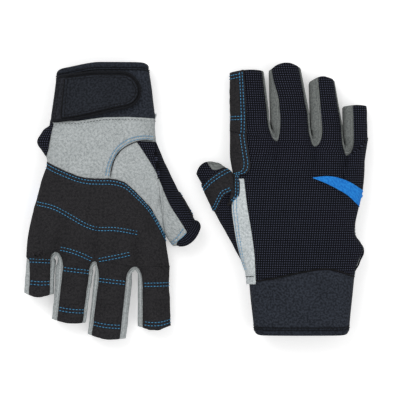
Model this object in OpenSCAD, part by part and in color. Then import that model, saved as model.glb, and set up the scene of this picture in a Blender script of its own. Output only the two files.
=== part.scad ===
// A pair of short-finger sailing gloves, laid flat side by side.
// The left glove lies on its back with the fingers towards -Y, and the right glove lies on its
// palm with the fingers towards +Y. Each glove is worked out in its own hand frame:
// u towards the thumb, v from the wrist hem to the fingertips, w out of the palm.

/* [Cuff] */
// Half width of the cuff at its hem
cuff_hem_half = 34; // [30:1:38]
// Half width of the cuff where the hand panels start
cuff_top_half = 37.6; // [34:0.5:40]
// Half thickness of the cuff tube
cuff_half_height = 11.4; // [10:0.2:13]
// Length of the cuff along its thumb side
cuff_length = 38; // [34:1:44]
// Wall of the neoprene cuff
neoprene_wall = 2.4; // [1.5:0.1:3]
// Width of the folded hem round the wrist opening
hem_width = 5.2; // [4:0.2:7]

/* [Hand] */
// Half thickness of the hand at the palm
palm_half_height = 12; // [10:0.2:14]
// Length from the hem to the crotch between the middle and index fingers, palm side
palm_length = 147; // [135:1:160]
// How much nearer the wrist the crotch seams lie on the back than on the palm
back_crotch_drop = 7.5; // [4:0.5:10]
// Rise of the lining web in each crotch beyond its palm seam
web_rise = 4.6; // [3:0.2:6]
// Wall of the mesh back
mesh_wall = 1.2; // [0.8:0.1:1.6]
// Wall of the suede palm
suede_wall = 1; // [0.8:0.1:1.4]
// Wall of the second suede layer over the palm, fingers and thumb
overlay_wall = 1; // [0.8:0.1:1.4]
// Wall of the accent panel and the side stripe on the back
trim_wall = 0.7; // [0.5:0.1:1]

/* [Fingers] */
// Length of the little finger beyond its fold line
little_length = 24; // [18:0.5:30]
// Length of the ring finger beyond its fold line
ring_length = 37.5; // [30:0.5:44]
// Length of the middle finger beyond its fold line
middle_length = 39.5; // [32:0.5:46]
// Length of the index finger beyond its fold line
index_length = 31; // [26:0.5:40]
// Half thickness of the fingers of the left glove
left_finger_half_height = 6.8; // [6:0.1:8]
// Half thickness of the fingers of the right glove
right_finger_half_height = 7.8; // [6:0.1:9]
// Distance from a crotch seam to the fold line that the fingers bend at
fold_distance = 6; // [5:0.5:9]
// Wall of the suede strips along the finger sides
side_wall = 1; // [0.8:0.1:1.4]

/* [Thumb] */
// Half thickness of the thumb where it leaves the hand
thumb_root_half_height = 8.6; // [7:0.2:10]
// Half thickness of the thumb at its open end
thumb_tip_half_height = 7; // [6:0.2:8]

/* [Strap] */
// Width of the wrist strap at its root
strap_width = 37; // [30:1:37]
// Width of the wrist strap at its round free end
strap_end_width = 26; // [22:1:30]
// Distance from the hem to the lower edge of the strap
strap_offset = 6.4; // [6.2:0.1:8]
// Reach of the strap past the middle of the cuff
strap_reach = 28; // [20:1:29]
// Thickness of the strap
strap_wall = 1.8; // [1.2:0.1:2.4]
// Thickness of the stitched patch on the strap
patch_wall = 0.8; // [0.6:0.1:1]
// Thickness of each half of the hook and loop fastening
fastener_wall = 0.7; // [0.5:0.1:1]

/* [Hidden] */
LEFT = 0;
RIGHT = 1;
PALM = 1;
BACK = -1;
GLOVES = ["left", "right"];
FINGERS = ["little", "ring", "middle", "index"];
HAND_NODES = ["cuff_band", "cuff_hem", "loop_pad", "back_panel", "accent_panel", "side_stripe",
    "palm_panel", "palm_reinforcement", "crotch_gussets"];
STRAP_NODES = ["wrist_strap", "strap_patch", "hook_pad"];
THUMB_NODES = ["thumb_front", "thumb_back", "thumb_patch"];
FINGER_PARTS = ["front", "back", "sides"];

// Clearances: between the strap's layers, between a second layer and the faceted cloth under
// it, between pieces that meet edge to edge, and between the two sides of a fold.
layer_gap = 0.1;
lap_gap = 0.4;
seam_gap = 0.2;
fold_gap = 0.5;
// How far the lining web stands in from the two panels that it joins.
web_inset = 0.25;

// Angle at which neighbouring finger lobes meet at a crotch, from the plane of the hand.
crotch_angle = 35;

// Squareness of the cross-sections of the cuff and the palm (2 is an ellipse).
squareness = 2.6;

// Where each glove lies on the table: the middle of its wrist hem.
place = [[-66.7, 98.9], [76.2, -97.4]];

// Which side of each glove faces the table.
down = [BACK, PALM];

// Stack under the right cuff: the closed strap with its patch and fastening.
strap_stack = 2 * fastener_wall + strap_wall + patch_wall + 4 * layer_gap;
finger_half_height = [left_finger_half_height, right_finger_half_height];
finger_length = [little_length, ring_length, middle_length, index_length];

// Height of the middle plane of each hand above the table.
table_height = [palm_half_height + overlay_wall + lap_gap,
    max(palm_half_height + overlay_wall + lap_gap, cuff_half_height + strap_stack)];

// Outline of each hand beyond the cuff, as v and u: the ulnar edge with the fold of cloth
// beside the wrist, and the thumb edge, whose straight middle is the thumb's fold line.
ulnar_edge = [
    [[49, -41.3], [54, -45], [58, -45.9], [63, -43.6], [68, -40.8], [87, -44.5],
        [104, -49], [123, -53.6], [palm_length - 7, -55.2]],
    [[49, -39.7], [57, -43], [62, -45.2], [67, -42.6], [71, -39.4], [91, -41],
        [107, -44.4], [127, -45.9], [palm_length - 7, -47.8]]
];
thumb_fold = [[[56, 37.2], [118, 44.6]], [[53, 43], [112, 49]]];
thumb_edge = [
    [[46, 36.8], each thumb_fold[LEFT], [126, 44.6], [palm_length, 47.6]],
    [[44, 39.6], each thumb_fold[RIGHT], [116, 49], [128, 51], [palm_length, 51.3]]
];

// Crotch seams on the palm side, from the little finger's outer side to the index's, as u and
// the distance back from the longest.
crotch_u = [[-33.7, -5.6, 23.1], [-31, -6.4, 22.6]];
crotch_back = [7, 10.6, 4, 0, 0];
// How far each crotch has turned across on the back, as the right fingers have rolled.
crotch_shift = [[0, 0, 0], [-1.6, -3.1, -4.8]];

// Fingers, from little to index: across place and half width at the fold line and at the tip.
finger_root_u = [[-45.9, -20.5, 7.2, 36.9], [-39.6, -18.2, 8.2, 37.4]];
finger_tip_u = [[-47, -25, 2.6, 37], [-38.9, -14.3, 12.7, 39.5]];
finger_root_half = [[9.6, 11.9, 12.7, 11.3], [8.6, 11, 13.8, 13.7]];
finger_tip_half = [[10.3, 11.5, 13.1, 11.9], [8.7, 8.8, 11.3, 12]];
// How much further the middle of each finger's open end reaches than its two sides.
finger_dome = [[2.4, 1.4, 1.8, 2.6], [0.8, 2.6, 4.4, 1.2]];

// Seam angles round each finger, measured from its thumb side towards the palm:
// back seam and front seam on the thumb side, then front seam and back seam on the other side.
// Each finger of the right glove has rolled a little, so its thumb side faces up.
seam_angles = [
    [[-45, 33, 130, 212], [-50, 26, 136, 212], [-34, 42, 146, 222], [-80, -80, 140, 220]],
    [[-76, 4, 106, 182], [-72, 6, 108, 184], [-58, 18, 120, 196], [-80, -80, 124, 196]]
];

// Thumb: the outer and inner edges from the fold line to the open end, as u and v.
thumb_outer = [
    [[38, 57], [48.4, 80.4], [56.6, 95.4], [70.6, 119.6]],
    [[43.6, 54], [52, 69], [64.7, 91.7], [76.8, 117.6]]
];
thumb_inner = [[[45, 117.4], [52.6, 131.6]], [[49.4, 111.4], [62.6, 126]]];
thumb_dome = [4.5, 4];

// Angle of the thumb's outer seam, from its inner edge towards the palm.
thumb_seam = [100, 168];

// How much further from the fingers the hem lies at the ulnar edge of each cuff.
hem_slope = [4.5, 0];

// Rows and columns of the faceted cloth.
lobe_cols = 5;
hand_rows = 14;
tongue_rows = 3;
finger_rows = 3;
thumb_rows = 5;

function mix(a, b, t) = a + (b - a) * t;
function clamp(x, low = 0, high = 1) = min(max(x, low), high);
function smooth(x) = let (c = clamp(x)) c * c * (3 - 2 * c);

// ---- cross-sections -------------------------------------------------------------------

// Half thickness of a glove at the distance v from its hem.
function half_height(g, v) = lookup(v, [
    [cuff_length - 3, cuff_half_height],
    [cuff_length + 22, palm_half_height],
    [palm_length * 0.62, palm_half_height],
    [palm_length - 5, mix(palm_half_height, finger_half_height[g], 0.7)],
    [palm_length + fold_distance, finger_half_height[g]]
]);

// What lies between the first layer and the table: the strap under the right cuff, and the
// second suede layer under the hand and fingers.
function padding(g, v) = mix(g == LEFT ? 0 : strap_stack, overlay_wall + lap_gap,
    smooth((v - cuff_length - 4) / 18));

// Middle plane at v, so that the lower side of the glove lies along the table.
function middle(g, v) = down[g] * (table_height[g] - half_height(g, v) - padding(g, v));

function edge_low(g, v) = v > 46 ? lookup(v, ulnar_edge[g]) :
    -mix(cuff_hem_half, cuff_top_half, clamp(v / cuff_length));
function edge_high(g, v) = v > 42 ? lookup(v, thumb_edge[g]) :
    mix(cuff_hem_half, cuff_top_half, clamp(v / cuff_length));

// Half height of the thumb hole at v.
function thumb_hole(g, v) = let (
    a = thumb_fold[g][0][0], b = thumb_fold[g][1][0], x = 2 * (v - a) / (b - a) - 1)
    abs(x) < 1 ? thumb_root_half_height * sqrt(1 - x * x) : 0;

// Height of the flattened tube over its middle plane, for x from -1 to 1 across it.
function tube_height(g, x, v) = let (
    y = half_height(g, v) * pow(max(1 - pow(abs(x), squareness), 0), 1 / squareness),
    hole = thumb_hole(g, v) * pow(max(x, 0), 2))
    sqrt(y * y + hole * hole);

// Direction out of the tube at x, as u and height.
function tube_out(g, x, v) = let (
    lean = x * abs(x) * (x > 0 ? 1 - 0.8 * thumb_hole(g, v) / thumb_root_half_height : 1))
    [lean, sqrt(1 - lean * lean)];

// Top of the cuff, where the hand panels start, at x; it turns only at the strips' borders.
function cuff_top(side, x) = cuff_length + (side == PALM ?
    lookup(x, [[-1, 3.5], [-0.5, 6.2], [0, 4.5], [0.5, 2.7], [1, 0]]) :
    lookup(x, [[-1, 3.5], [-0.5, 9.3], [0, 6.9], [0.5, 3], [1, 0]]));

// ---- hand panels ----------------------------------------------------------------------

// Borders between the finger strips, numbered from the ulnar edge to the thumb edge.
function border_start(side, n) = let (x = n / 2 - 1) [x * cuff_top_half, cuff_top(side, x)];
function border_end(g, side, n) = let (
    v = palm_length - crotch_back[n] - (side == BACK && n > 0 && n < 4 ? back_crotch_drop : 0))
    [n == 0 ? edge_low(g, v) : n == 4 ? edge_high(g, v) :
        crotch_u[g][n - 1] + (side == BACK ? crotch_shift[g][n - 1] : 0), v];
function border(g, side, n, s) = let (
    p = mix(border_start(side, n), border_end(g, side, n), s))
    n == 0 ? [edge_low(g, p.y), p.y] : n == 4 ? [edge_high(g, p.y), p.y] : p;

// Angles that a strip's lobe spans at its crotch.
function lobe_start(k) = k == 0 ? 180 : 180 - crotch_angle;
function lobe_end(k) = k == 3 ? 0 : crotch_angle;

// A point of a hand panel: strip k, s from the cuff to the crotch, q across the strip, and
// the distance d out of the panel's outer face.
function hand_point(g, side, k, s, q, d) = let (
    angle = mix(lobe_start(k), lobe_end(k), q),
    across = (cos(lobe_start(k)) - cos(angle)) / (cos(lobe_start(k)) - cos(lobe_end(k))),
    p = mix(border(g, side, k, s), border(g, side, k + 1, s), across),
    low = edge_low(g, p.y), high = edge_high(g, p.y),
    x = clamp((2 * p.x - low - high) / (high - low), -1, 1),
    lobed = smooth((s - 0.6) / 0.4),
    height = mix(tube_height(g, x, p.y), half_height(g, p.y) * sin(angle), lobed),
    out = tube_out(g, x, p.y))
    [p.x + d * out.x, p.y, middle(g, p.y) + side * (height + d * out.y)];

// The same for a place c from 0 to 4 across all four strips.
function panel_point(g, side, c, s, d) = let (k = min(floor(c), 3))
    hand_point(g, side, k, s, c - k, d);

// The s at which the panel reaches v, at c across.
function reach(g, side, c, v) = let (k = min(floor(c), 3),
    a = mix(border_start(side, k).y, border_start(side, k + 1).y, c - k),
    b = mix(border_end(g, side, k).y, border_end(g, side, k + 1).y, c - k))
    clamp((v - a) / (b - a));

// ---- fingers --------------------------------------------------------------------------

function fold_v(k) = palm_length + fold_distance - crotch_back[k + 1] + [0, 0, 4, 6.4][k];
function finger_root(g, k) = [finger_root_u[g][k], fold_v(k)];
function finger_tip(g, k) = let (du = finger_tip_u[g][k] - finger_root_u[g][k])
    [finger_tip_u[g][k], fold_v(k) + sqrt(pow(finger_length[k], 2) - du * du)];

// A point of finger k: f from the fold line to the tip, the angle round it, and d outwards.
function finger_point(g, k, f, angle, d) = let (
    root = finger_root(g, k), tip = finger_tip(g, k),
    along = (tip - root) / finger_length[k], across = [along.y, -along.x],
    a = mix(finger_root_half[g][k], finger_tip_half[g][k], clamp(f)), b = finger_half_height[g],
    n = [cos(angle) / a, sin(angle) / b], out = n / norm(n),
    dome = finger_dome[g][k] * pow(clamp(f), 2) * (pow(sin(angle), 2) - 0.5),
    p = root + along * (f * finger_length[k] + dome) + across * (a * cos(angle) + d * out.x))
    [p.x, p.y, down[g] * (table_height[g] - b - padding(g, palm_length)) + b * sin(angle) + d * out.y];

// Seam angles of a finger's front (PALM) or back, from its ulnar side to its thumb side.
function panel_angles(g, side, k) = let (a = seam_angles[g][k])
    side == PALM ? [a[2], a[1]] : [a[3], a[0] + 360];

// A point of the short tongue from the crotch row to just short of the fold line.
function tongue_point(g, side, k, r, q, d) = let (
    a = hand_point(g, side, k, 1, q, d),
    angles = panel_angles(g, side, k),
    b = finger_point(g, k, -fold_gap / finger_length[k], mix(angles[0], angles[1], q), d),
    turn = sqrt(1 - (1 - r) * (1 - r)))
    [mix(a.x, b.x, turn), mix(a.y, b.y, r), mix(a.z, b.z, r)];

// ---- solids from point grids ----------------------------------------------------------

function quad(a, b, c, d) = [[a, b, c], [a, c, d]];

// A closed slab between two grids of points; rows are lists of points.
module slab(outer, inner, flip = false) {
    m = len(outer);
    n = len(outer[0]);
    top = [for (row = outer) each row];
    bottom = [for (row = inner) each row];
    t = m * n;
    faces = [
        for (i = [0:m - 2], j = [0:n - 2]) let (a = i * n + j) each concat(
            quad(a, a + n, a + n + 1, a + 1),
            quad(t + a, t + a + 1, t + a + n + 1, t + a + n)),
        for (i = [0:m - 2]) let (a = i * n, b = a + n - 1) each concat(
            quad(a, t + a, t + a + n, a + n),
            quad(b, b + n, t + b + n, t + b)),
        for (j = [0:n - 2]) let (a = j, b = (m - 1) * n + j) each concat(
            quad(a, a + 1, t + a + 1, t + a),
            quad(b, t + b, t + b + 1, b + 1))
    ];
    polyhedron(concat(top, bottom), [for (f = faces) flip ? [f[2], f[1], f[0]] : f]);
}

// A closed tube wall between two grids whose rows run all the way round.
module tube(outer, inner) {
    m = len(outer);
    n = len(outer[0]);
    t = m * n;
    faces = [
        for (i = [0:m - 2], j = [0:n - 1]) let (a = i * n + j, b = i * n + (j + 1) % n) each concat(
            quad(a, a + n, b + n, b),
            quad(t + a, t + b, t + b + n, t + a + n)),
        for (j = [0:n - 1]) let (b = (j + 1) % n, c = (m - 1) * n) each concat(
            quad(j, b, t + b, t + j),
            quad(c + j, t + c + j, t + c + b, c + b))
    ];
    polyhedron(concat([for (row = outer) each row], [for (row = inner) each row]), faces);
}

// A hand panel with its four tongues: one closed sheet from the place `from` to the folds.
// from[j] is the s at which column j starts.
module sheet(g, side, from, high, low) {
    n = lobe_cols;
    w = 4 * n + 1;
    base = (hand_rows + 1) * w;
    total = base + 4 * tongue_rows * (n + 1);
    points = [for (d = [high, low]) each [
        for (i = [0:hand_rows], j = [0:4 * n])
            panel_point(g, side, j / n, mix(from[j], 1, i / hand_rows), d),
        for (k = [0:3], r = [1:tongue_rows], j = [0:n])
            tongue_point(g, side, k, r / tongue_rows, j / n, d)
    ]];
    function at(k, r, j) = r == 0 ? hand_rows * w + k * n + j :
        base + (k * tongue_rows + r - 1) * (n + 1) + j;
    // Both faces of the patch a, b, c, d, and the wall along the edge from a to b.
    function skin(a, b, c, d) = concat(quad(a, b, c, d), quad(total + a, total + d, total + c, total + b));
    function wall(a, b) = quad(b, a, total + a, total + b);
    faces = [
        for (i = [0:hand_rows - 1], j = [0:4 * n - 1]) let (a = i * w + j)
            each skin(a, a + w, a + w + 1, a + 1),
        for (k = [0:3], r = [0:tongue_rows - 1], j = [0:n - 1])
            each skin(at(k, r, j), at(k, r + 1, j), at(k, r + 1, j + 1), at(k, r, j + 1)),
        for (j = [0:4 * n - 1]) each wall(j + 1, j),
        for (i = [0:hand_rows - 1]) each concat(
            wall(i * w, (i + 1) * w), wall((i + 1) * w + 4 * n, i * w + 4 * n)),
        for (k = [0:3], r = [0:tongue_rows - 1]) each concat(
            wall(at(k, r, 0), at(k, r + 1, 0)), wall(at(k, r + 1, n), at(k, r, n))),
        for (k = [0:3], j = [0:n - 1]) each wall(at(k, tongue_rows, j), at(k, tongue_rows, j + 1))
    ];
    polyhedron(points, [for (f = faces) side == BACK ? [f[2], f[1], f[0]] : f]);
}

// ---- cuff and strap -------------------------------------------------------------------

// A point of the cuff: x from -1 to 1 across one side, v along, d outwards.
function cuff_point(g, side, x, v, d) = let (
    low = edge_low(g, v), high = edge_high(g, v), out = tube_out(g, x, v))
    [mix(low, high, (x + 1) / 2) + d * out.x, v,
        middle(g, v) + side * (tube_height(g, x, v) + d * out.y)];

// Stations round the cuff, as side and x: the columns of the hand panels that start there.
cuff_cols = 4 * lobe_cols;
function column_x(j) = let (
    k = min(floor(j / lobe_cols), 3), a = cos(lobe_start(k)), b = cos(lobe_end(k)),
    angle = mix(lobe_start(k), lobe_end(k), j / lobe_cols - k))
    (k + (a - cos(angle)) / (a - b)) / 2 - 1;
cuff_ring = [
    for (j = [0:cuff_cols - 1]) [PALM, column_x(j)],
    for (j = [0:cuff_cols - 1]) [BACK, column_x(cuff_cols - j)]
];

// The hem line, drawn in at the two folded edges and sloped at the ulnar one.
function slope(g, x) = hem_slope[g] * smooth(-x - 0.05);
function hem_v(g, x) = 6 * pow(abs(x), 8) + slope(g, x);

module cuff_band(g) {
    levels = [0, 0.25, 0.5, 0.75, 1];
    color([0.16, 0.17, 0.21]) tube(
        [for (l = levels) [for (p = cuff_ring) cuff_point(g, p[0], p[1],
            mix(hem_v(g, p[1]) + hem_width, cuff_top(p[0], p[1]) - seam_gap, l), 0)]],
        [for (l = levels) [for (p = cuff_ring) cuff_point(g, p[0], p[1],
            mix(hem_v(g, p[1]) + hem_width, cuff_top(p[0], p[1]) - seam_gap, l), -neoprene_wall)]]);
}

module cuff_hem(g) {
    levels = [[0, -0.6], [0.3, 0], [1, 0]];
    color([0.13, 0.15, 0.19]) tube(
        [for (l = levels) [for (p = cuff_ring) cuff_point(g, p[0], p[1],
            hem_v(g, p[1]) + l[0] * (hem_width - seam_gap), l[1])]],
        [for (l = levels) [for (p = cuff_ring) cuff_point(g, p[0], p[1],
            hem_v(g, p[1]) + l[0] * (hem_width - seam_gap), -neoprene_wall)]]);
}

// Rows of points over the palm side of the cuff, for x from a to b between the strap's edges
// drawn in by margin, at the height d.
strap_cols = 16;
strap_root = -0.93;
strap_end = strap_reach / cuff_top_half;
strap_middle_v = strap_offset + strap_width / 2;
strap_taper = (strap_width - strap_end_width) / 2;
function strap_share(x) = smooth((x - strap_root) / (strap_end - strap_root));
function strap_half(x) = let (
    radius = strap_end_width / 2,
    past = clamp((x - strap_end) * cuff_top_half / radius + 1))
    (strap_width / 2 - strap_taper * strap_share(x)) * sqrt(1 - past * past);
function strap_row(g, x, margin, d) = let (
    half = max(strap_half(x) - margin, 0.4), v = strap_middle_v - 0.9 * strap_taper * strap_share(x))
    [for (j = [-2:2]) cuff_point(g, PALM, x, v + j / 2 * half + slope(g, x) * (2 - j) / 5, d)];

// One layer of the strap; drop brings it down to the cuff where it is sewn on.
module strap_layer(g, a, b, margin, low, thick, drop = 0) {
    rows = [for (d = [low + thick, low]) [for (i = [0:strap_cols]) let (
        x = mix(a, b, (1 - cos(180 * i / strap_cols)) / 2))
        strap_row(g, x, margin, d - drop * (1 - smooth((x - strap_root) / 0.25)))]];
    slab(rows[0], rows[1], flip = true);
}

loop_low = layer_gap;
hook_low = loop_low + fastener_wall + layer_gap;
strap_low = hook_low + fastener_wall + layer_gap;
patch_low = strap_low + strap_wall + layer_gap;
fastener_end = strap_end - 0.09;

module loop_pad(g) {
    color([0.1, 0.1, 0.12]) strap_layer(g, -0.6, fastener_end, 3.4, loop_low, fastener_wall);
}

module hook_pad(g) {
    color([0.08, 0.08, 0.1]) strap_layer(g, 0, fastener_end, 3.8, hook_low, fastener_wall);
}

module wrist_strap(g) {
    color([0.14, 0.15, 0.19])
        strap_layer(g, strap_root, strap_end, 0, strap_low, strap_wall, strap_low - lap_gap);
}

module strap_patch(g) {
    color([0.13, 0.13, 0.16]) strap_layer(g, -0.68, fastener_end, 2.2, patch_low, patch_wall);
}

// ---- hand -----------------------------------------------------------------------------

whole = [for (j = [0:4 * lobe_cols]) 0];

// Edge of the second suede layer: v at each place across, curving round the thumb's root.
overlay_line = [[0, 71.3], [0.7, 78.7], [1, 82.2], [1.7, 83.3], [2.3, 83.3], [2.8, 86],
    [3.13, 90.7], [3.45, 99.4], [3.68, 106.2], [3.85, 115], [4, 124]];

// Edges of the accent panel on the back.
accent_top = [[0, 104.5], [0.4, 108.7], [0.77, 112.3], [1.14, 114.1], [1.64, 114]];
accent_bottom = [[0, 90], [0.13, 92.4], [0.43, 98.8], [0.77, 103.8], [1.24, 108.7], [1.64, 113]];

module back_panel(g) {
    color([0.09, 0.1, 0.14]) sheet(g, BACK, whole, 0, -mesh_wall);
}

module palm_panel(g) {
    color([0.62, 0.64, 0.64]) sheet(g, PALM, whole, 0, -suede_wall);
}

module palm_reinforcement(g) {
    from = [for (j = [0:4 * lobe_cols]) let (c = j / lobe_cols)
        reach(g, PALM, c, lookup(c, overlay_line))];
    color([0.14, 0.14, 0.16]) sheet(g, PALM, from, lap_gap + overlay_wall, lap_gap);
}

// A patch on the back between two lines across the strips.
module back_patch(g, from, to, steps, bottom, top) {
    rows = [for (d = [lap_gap + trim_wall, lap_gap]) [for (i = [0:steps]) let (
        c = mix(from, to, i / steps))
        [for (v = [lookup(c, bottom), mix(lookup(c, bottom), lookup(c, top), 0.5), lookup(c, top)])
            panel_point(g, BACK, c, reach(g, BACK, c, v), d)]]];
    slab(rows[0], rows[1], flip = false);
}

module accent_panel(g) {
    color([0.12, 0.45, 0.78]) back_patch(g, 0.02, 1.64, 9, accent_bottom, accent_top);
}

module side_stripe(g) {
    stripe = [for (d = [lap_gap + trim_wall, lap_gap]) [for (i = [0:14]) let (
        v = mix(cuff_length + 3, 112, i / 14), wide = 0.25 + 0.18 * sin(180 * i / 14))
        [for (q = [0:0.25:1]) let (c = 3.93 - wide * (1 - q)) panel_point(g, BACK, c, reach(g, BACK, c, v), d)]]];
    color([0.66, 0.67, 0.67]) slab(stripe[0], stripe[1], flip = true);
}

// Lining web between fingers k and k + 1, from one fold line round the crotch to the other.
web_cols = 4;
function web_point(g, k, turn, q, d) = let (
    n = k + 1,
    inset = -max(mesh_wall, suede_wall) - web_inset,
    low = hand_point(g, BACK, k, 1, 1, inset), high = hand_point(g, PALM, k, 1, 1, inset),
    apex = mix(low, high, (q + 1) / 2) + [0, web_rise * sqrt(max(1 - q * q, 0)) + d, 0],
    finger = turn < 0 ? k : k + 1,
    a = seam_angles[g][finger],
    angle = turn < 0 ? mix(a[0] + 3, a[1] - 3, (q + 1) / 2) : mix(a[3] - 3, a[2] + 3, (q + 1) / 2),
    root = finger_point(g, finger, -fold_gap / finger_length[finger], angle, d),
    r = abs(turn))
    [mix(apex.x, root.x, sqrt(1 - (1 - r) * (1 - r))), mix(apex.y, root.y, r), mix(apex.z, root.z, r)];

module crotch_gussets(g) {
    color([0.64, 0.66, 0.66]) for (k = [0:2]) slab(
        [for (i = [-3:3]) [for (j = [0:web_cols]) web_point(g, k, i / 3, 2 * j / web_cols - 1, 0)]],
        [for (i = [-3:3]) [for (j = [0:web_cols]) web_point(g, k, i / 3, 2 * j / web_cols - 1, -side_wall)]]);
}

// ---- fingers and thumb ----------------------------------------------------------------

// Part of finger k between two angles round it.
module finger_wall(g, k, from, to, cols, high, low) {
    rows = [for (d = [high, low]) [for (i = [0:finger_rows]) [for (j = [0:cols])
        finger_point(g, k, i / finger_rows, mix(from, to, j / cols), d)]]];
    slab(rows[0], rows[1]);
}

module finger_front(g, k) {
    a = seam_angles[g][k];
    color([0.14, 0.14, 0.16]) finger_wall(g, k, a[2], a[1], k == 3 ? 9 : 6,
        lap_gap + overlay_wall, -suede_wall);
}

module finger_back(g, k) {
    a = seam_angles[g][k];
    color([0.09, 0.1, 0.14]) finger_wall(g, k, a[0] + 360, a[3], 6, 0, -mesh_wall);
}

module finger_sides(g, k) {
    a = seam_angles[g][k];
    slack = 1;
    color([0.64, 0.66, 0.66]) {
        finger_wall(g, k, a[3] - slack, a[2] + slack, 4, 0, -side_wall);
        if (a[1] > a[0]) finger_wall(g, k, a[1] - slack, a[0] + slack, 4, 0, -side_wall);
    }
}

// A point along a list of points, for t from 0 to 1.
function along(points, t) = let (n = len(points) - 1, i = min(floor(t * n), n - 1))
    mix(points[i], points[i + 1], t * n - i);

// A point of the thumb: f from the fold line to the open end, the angle round it measured
// from the inner edge towards the palm, and d outwards.
function thumb_point(g, f, angle, d) = let (
    outer = along(thumb_outer[g], f), inner = along(thumb_inner[g], f),
    centre = (outer + inner) / 2, half = norm(inner - outer) / 2, across = (inner - outer) / (2 * half),
    b = mix(thumb_root_half_height, thumb_tip_half_height, f),
    v = mix(centre.y, palm_length, 0.35),
    n = [cos(angle) / half, sin(angle) / b], out = n / norm(n),
    lift = down[g] * (table_height[g] - b - padding(g, palm_length)),
    rest = down[g] * (table_height[g] - half_height(g, 85) - padding(g, 85)),
    dome = thumb_dome[g] * pow(clamp(f), 3) * (pow(sin(angle), 2) - 0.5),
    p = centre + across * (half * cos(angle) + d * out.x) + [across.y, -across.x] * dome)
    [p.x, p.y, mix(rest, lift, smooth(f)) + b * sin(angle) + d * out.y];

module thumb_wall(g, from, to, high, low) {
    cols = ceil(abs(to - from) / 22);
    rows = [for (d = [high, low]) [for (i = [0:thumb_rows]) [for (j = [0:cols])
        thumb_point(g, mix(0.02, 1, i / thumb_rows), mix(from, to, j / cols), d)]]];
    slab(rows[0], rows[1], flip = true);
}

module thumb_front(g) {
    color([0.62, 0.64, 0.64]) thumb_wall(g, thumb_seam[g] - 0.5, 2, 0, -suede_wall);
}

module thumb_back(g) {
    color([0.09, 0.1, 0.14]) thumb_wall(g, 361, thumb_seam[g] + 0.5, 0, -mesh_wall);
}

module thumb_patch(g) {
    rows = [for (d = [lap_gap + overlay_wall, lap_gap]) [for (i = [0:4]) [for (j = [0:7])
        thumb_point(g, mix(0.35, 1, i / 4), mix(300, 150, j / 7), d)]]];
    color([0.14, 0.14, 0.16]) slab(rows[0], rows[1], flip = true);
}

// ---- placing --------------------------------------------------------------------------

// Moves children from the hand frame to the table.
module lay(g) {
    translate([place[g].x, place[g].y, table_height[g]])
        if (g == LEFT) mirror([0, 1, 0]) children();
        else rotate([0, 180, 0]) children();
}

for (g = [LEFT, RIGHT]) {
    hand = GLOVES[g];
    lay(g) cuff_band(g);
    lay(g) cuff_hem(g);
    lay(g) loop_pad(g);
    lay(g) back_panel(g);
    lay(g) accent_panel(g);
    lay(g) side_stripe(g);
    lay(g) palm_panel(g);
    lay(g) palm_reinforcement(g);
    lay(g) crotch_gussets(g);
    lay(g) wrist_strap(g);
    lay(g) strap_patch(g);
    lay(g) hook_pad(g);
    lay(g) thumb_front(g);
    lay(g) thumb_back(g);
    lay(g) thumb_patch(g);
    for (k = [0:3]) {
        finger = str(hand, "_", FINGERS[k]);
        lay(g) finger_front(g, k);
        lay(g) finger_back(g, k);
        lay(g) finger_sides(g, k);
    }
}
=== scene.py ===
# %% [markdown]
# # A pair of short-finger sailing gloves
# Each glove is a set of cloth panels. A panel is a grid of points on a surface given by a
# formula in the hand frame: u towards the thumb, v from the wrist hem to the fingertips and
# w out of the palm, in millimetres. The left glove lies palm up, the right one palm down.

import bpy
import numpy as np
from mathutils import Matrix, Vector

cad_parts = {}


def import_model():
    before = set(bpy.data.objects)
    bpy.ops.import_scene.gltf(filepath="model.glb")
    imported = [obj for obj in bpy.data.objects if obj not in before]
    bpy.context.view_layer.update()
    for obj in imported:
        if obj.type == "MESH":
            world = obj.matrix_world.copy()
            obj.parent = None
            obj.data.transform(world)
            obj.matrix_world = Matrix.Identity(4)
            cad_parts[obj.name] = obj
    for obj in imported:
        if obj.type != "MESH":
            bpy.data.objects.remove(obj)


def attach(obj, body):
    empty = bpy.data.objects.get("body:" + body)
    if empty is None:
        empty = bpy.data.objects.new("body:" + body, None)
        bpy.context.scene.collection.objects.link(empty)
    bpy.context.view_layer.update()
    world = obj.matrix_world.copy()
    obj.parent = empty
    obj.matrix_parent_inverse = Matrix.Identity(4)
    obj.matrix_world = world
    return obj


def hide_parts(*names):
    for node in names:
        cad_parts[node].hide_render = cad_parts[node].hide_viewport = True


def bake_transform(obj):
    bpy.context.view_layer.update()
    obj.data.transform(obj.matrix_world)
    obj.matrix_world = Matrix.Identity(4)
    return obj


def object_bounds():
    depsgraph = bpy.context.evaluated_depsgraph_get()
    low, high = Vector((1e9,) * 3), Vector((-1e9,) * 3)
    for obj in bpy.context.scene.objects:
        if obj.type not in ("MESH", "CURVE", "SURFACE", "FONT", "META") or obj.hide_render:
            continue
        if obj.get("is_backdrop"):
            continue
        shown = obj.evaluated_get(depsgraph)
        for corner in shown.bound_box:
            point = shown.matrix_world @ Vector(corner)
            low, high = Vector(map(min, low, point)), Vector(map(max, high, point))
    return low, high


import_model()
cad_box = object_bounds()
print("CAD box in metres:", cad_box)
LEFT, RIGHT = 0, 1
PALM, BACK = 1, -1
GLOVES = ["left", "right"]
FINGERS = ["little", "ring", "middle", "index"]
MM = 0.001

# %% [markdown]
# ## Sizes
# The driving sizes, in millimetres, are those of the CAD model. They could be read off its
# meshes, but named values say what each one means and can be changed. A pair of values is for
# the left and the right glove. The right one rests on its folded strap, so it lies higher.

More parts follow.
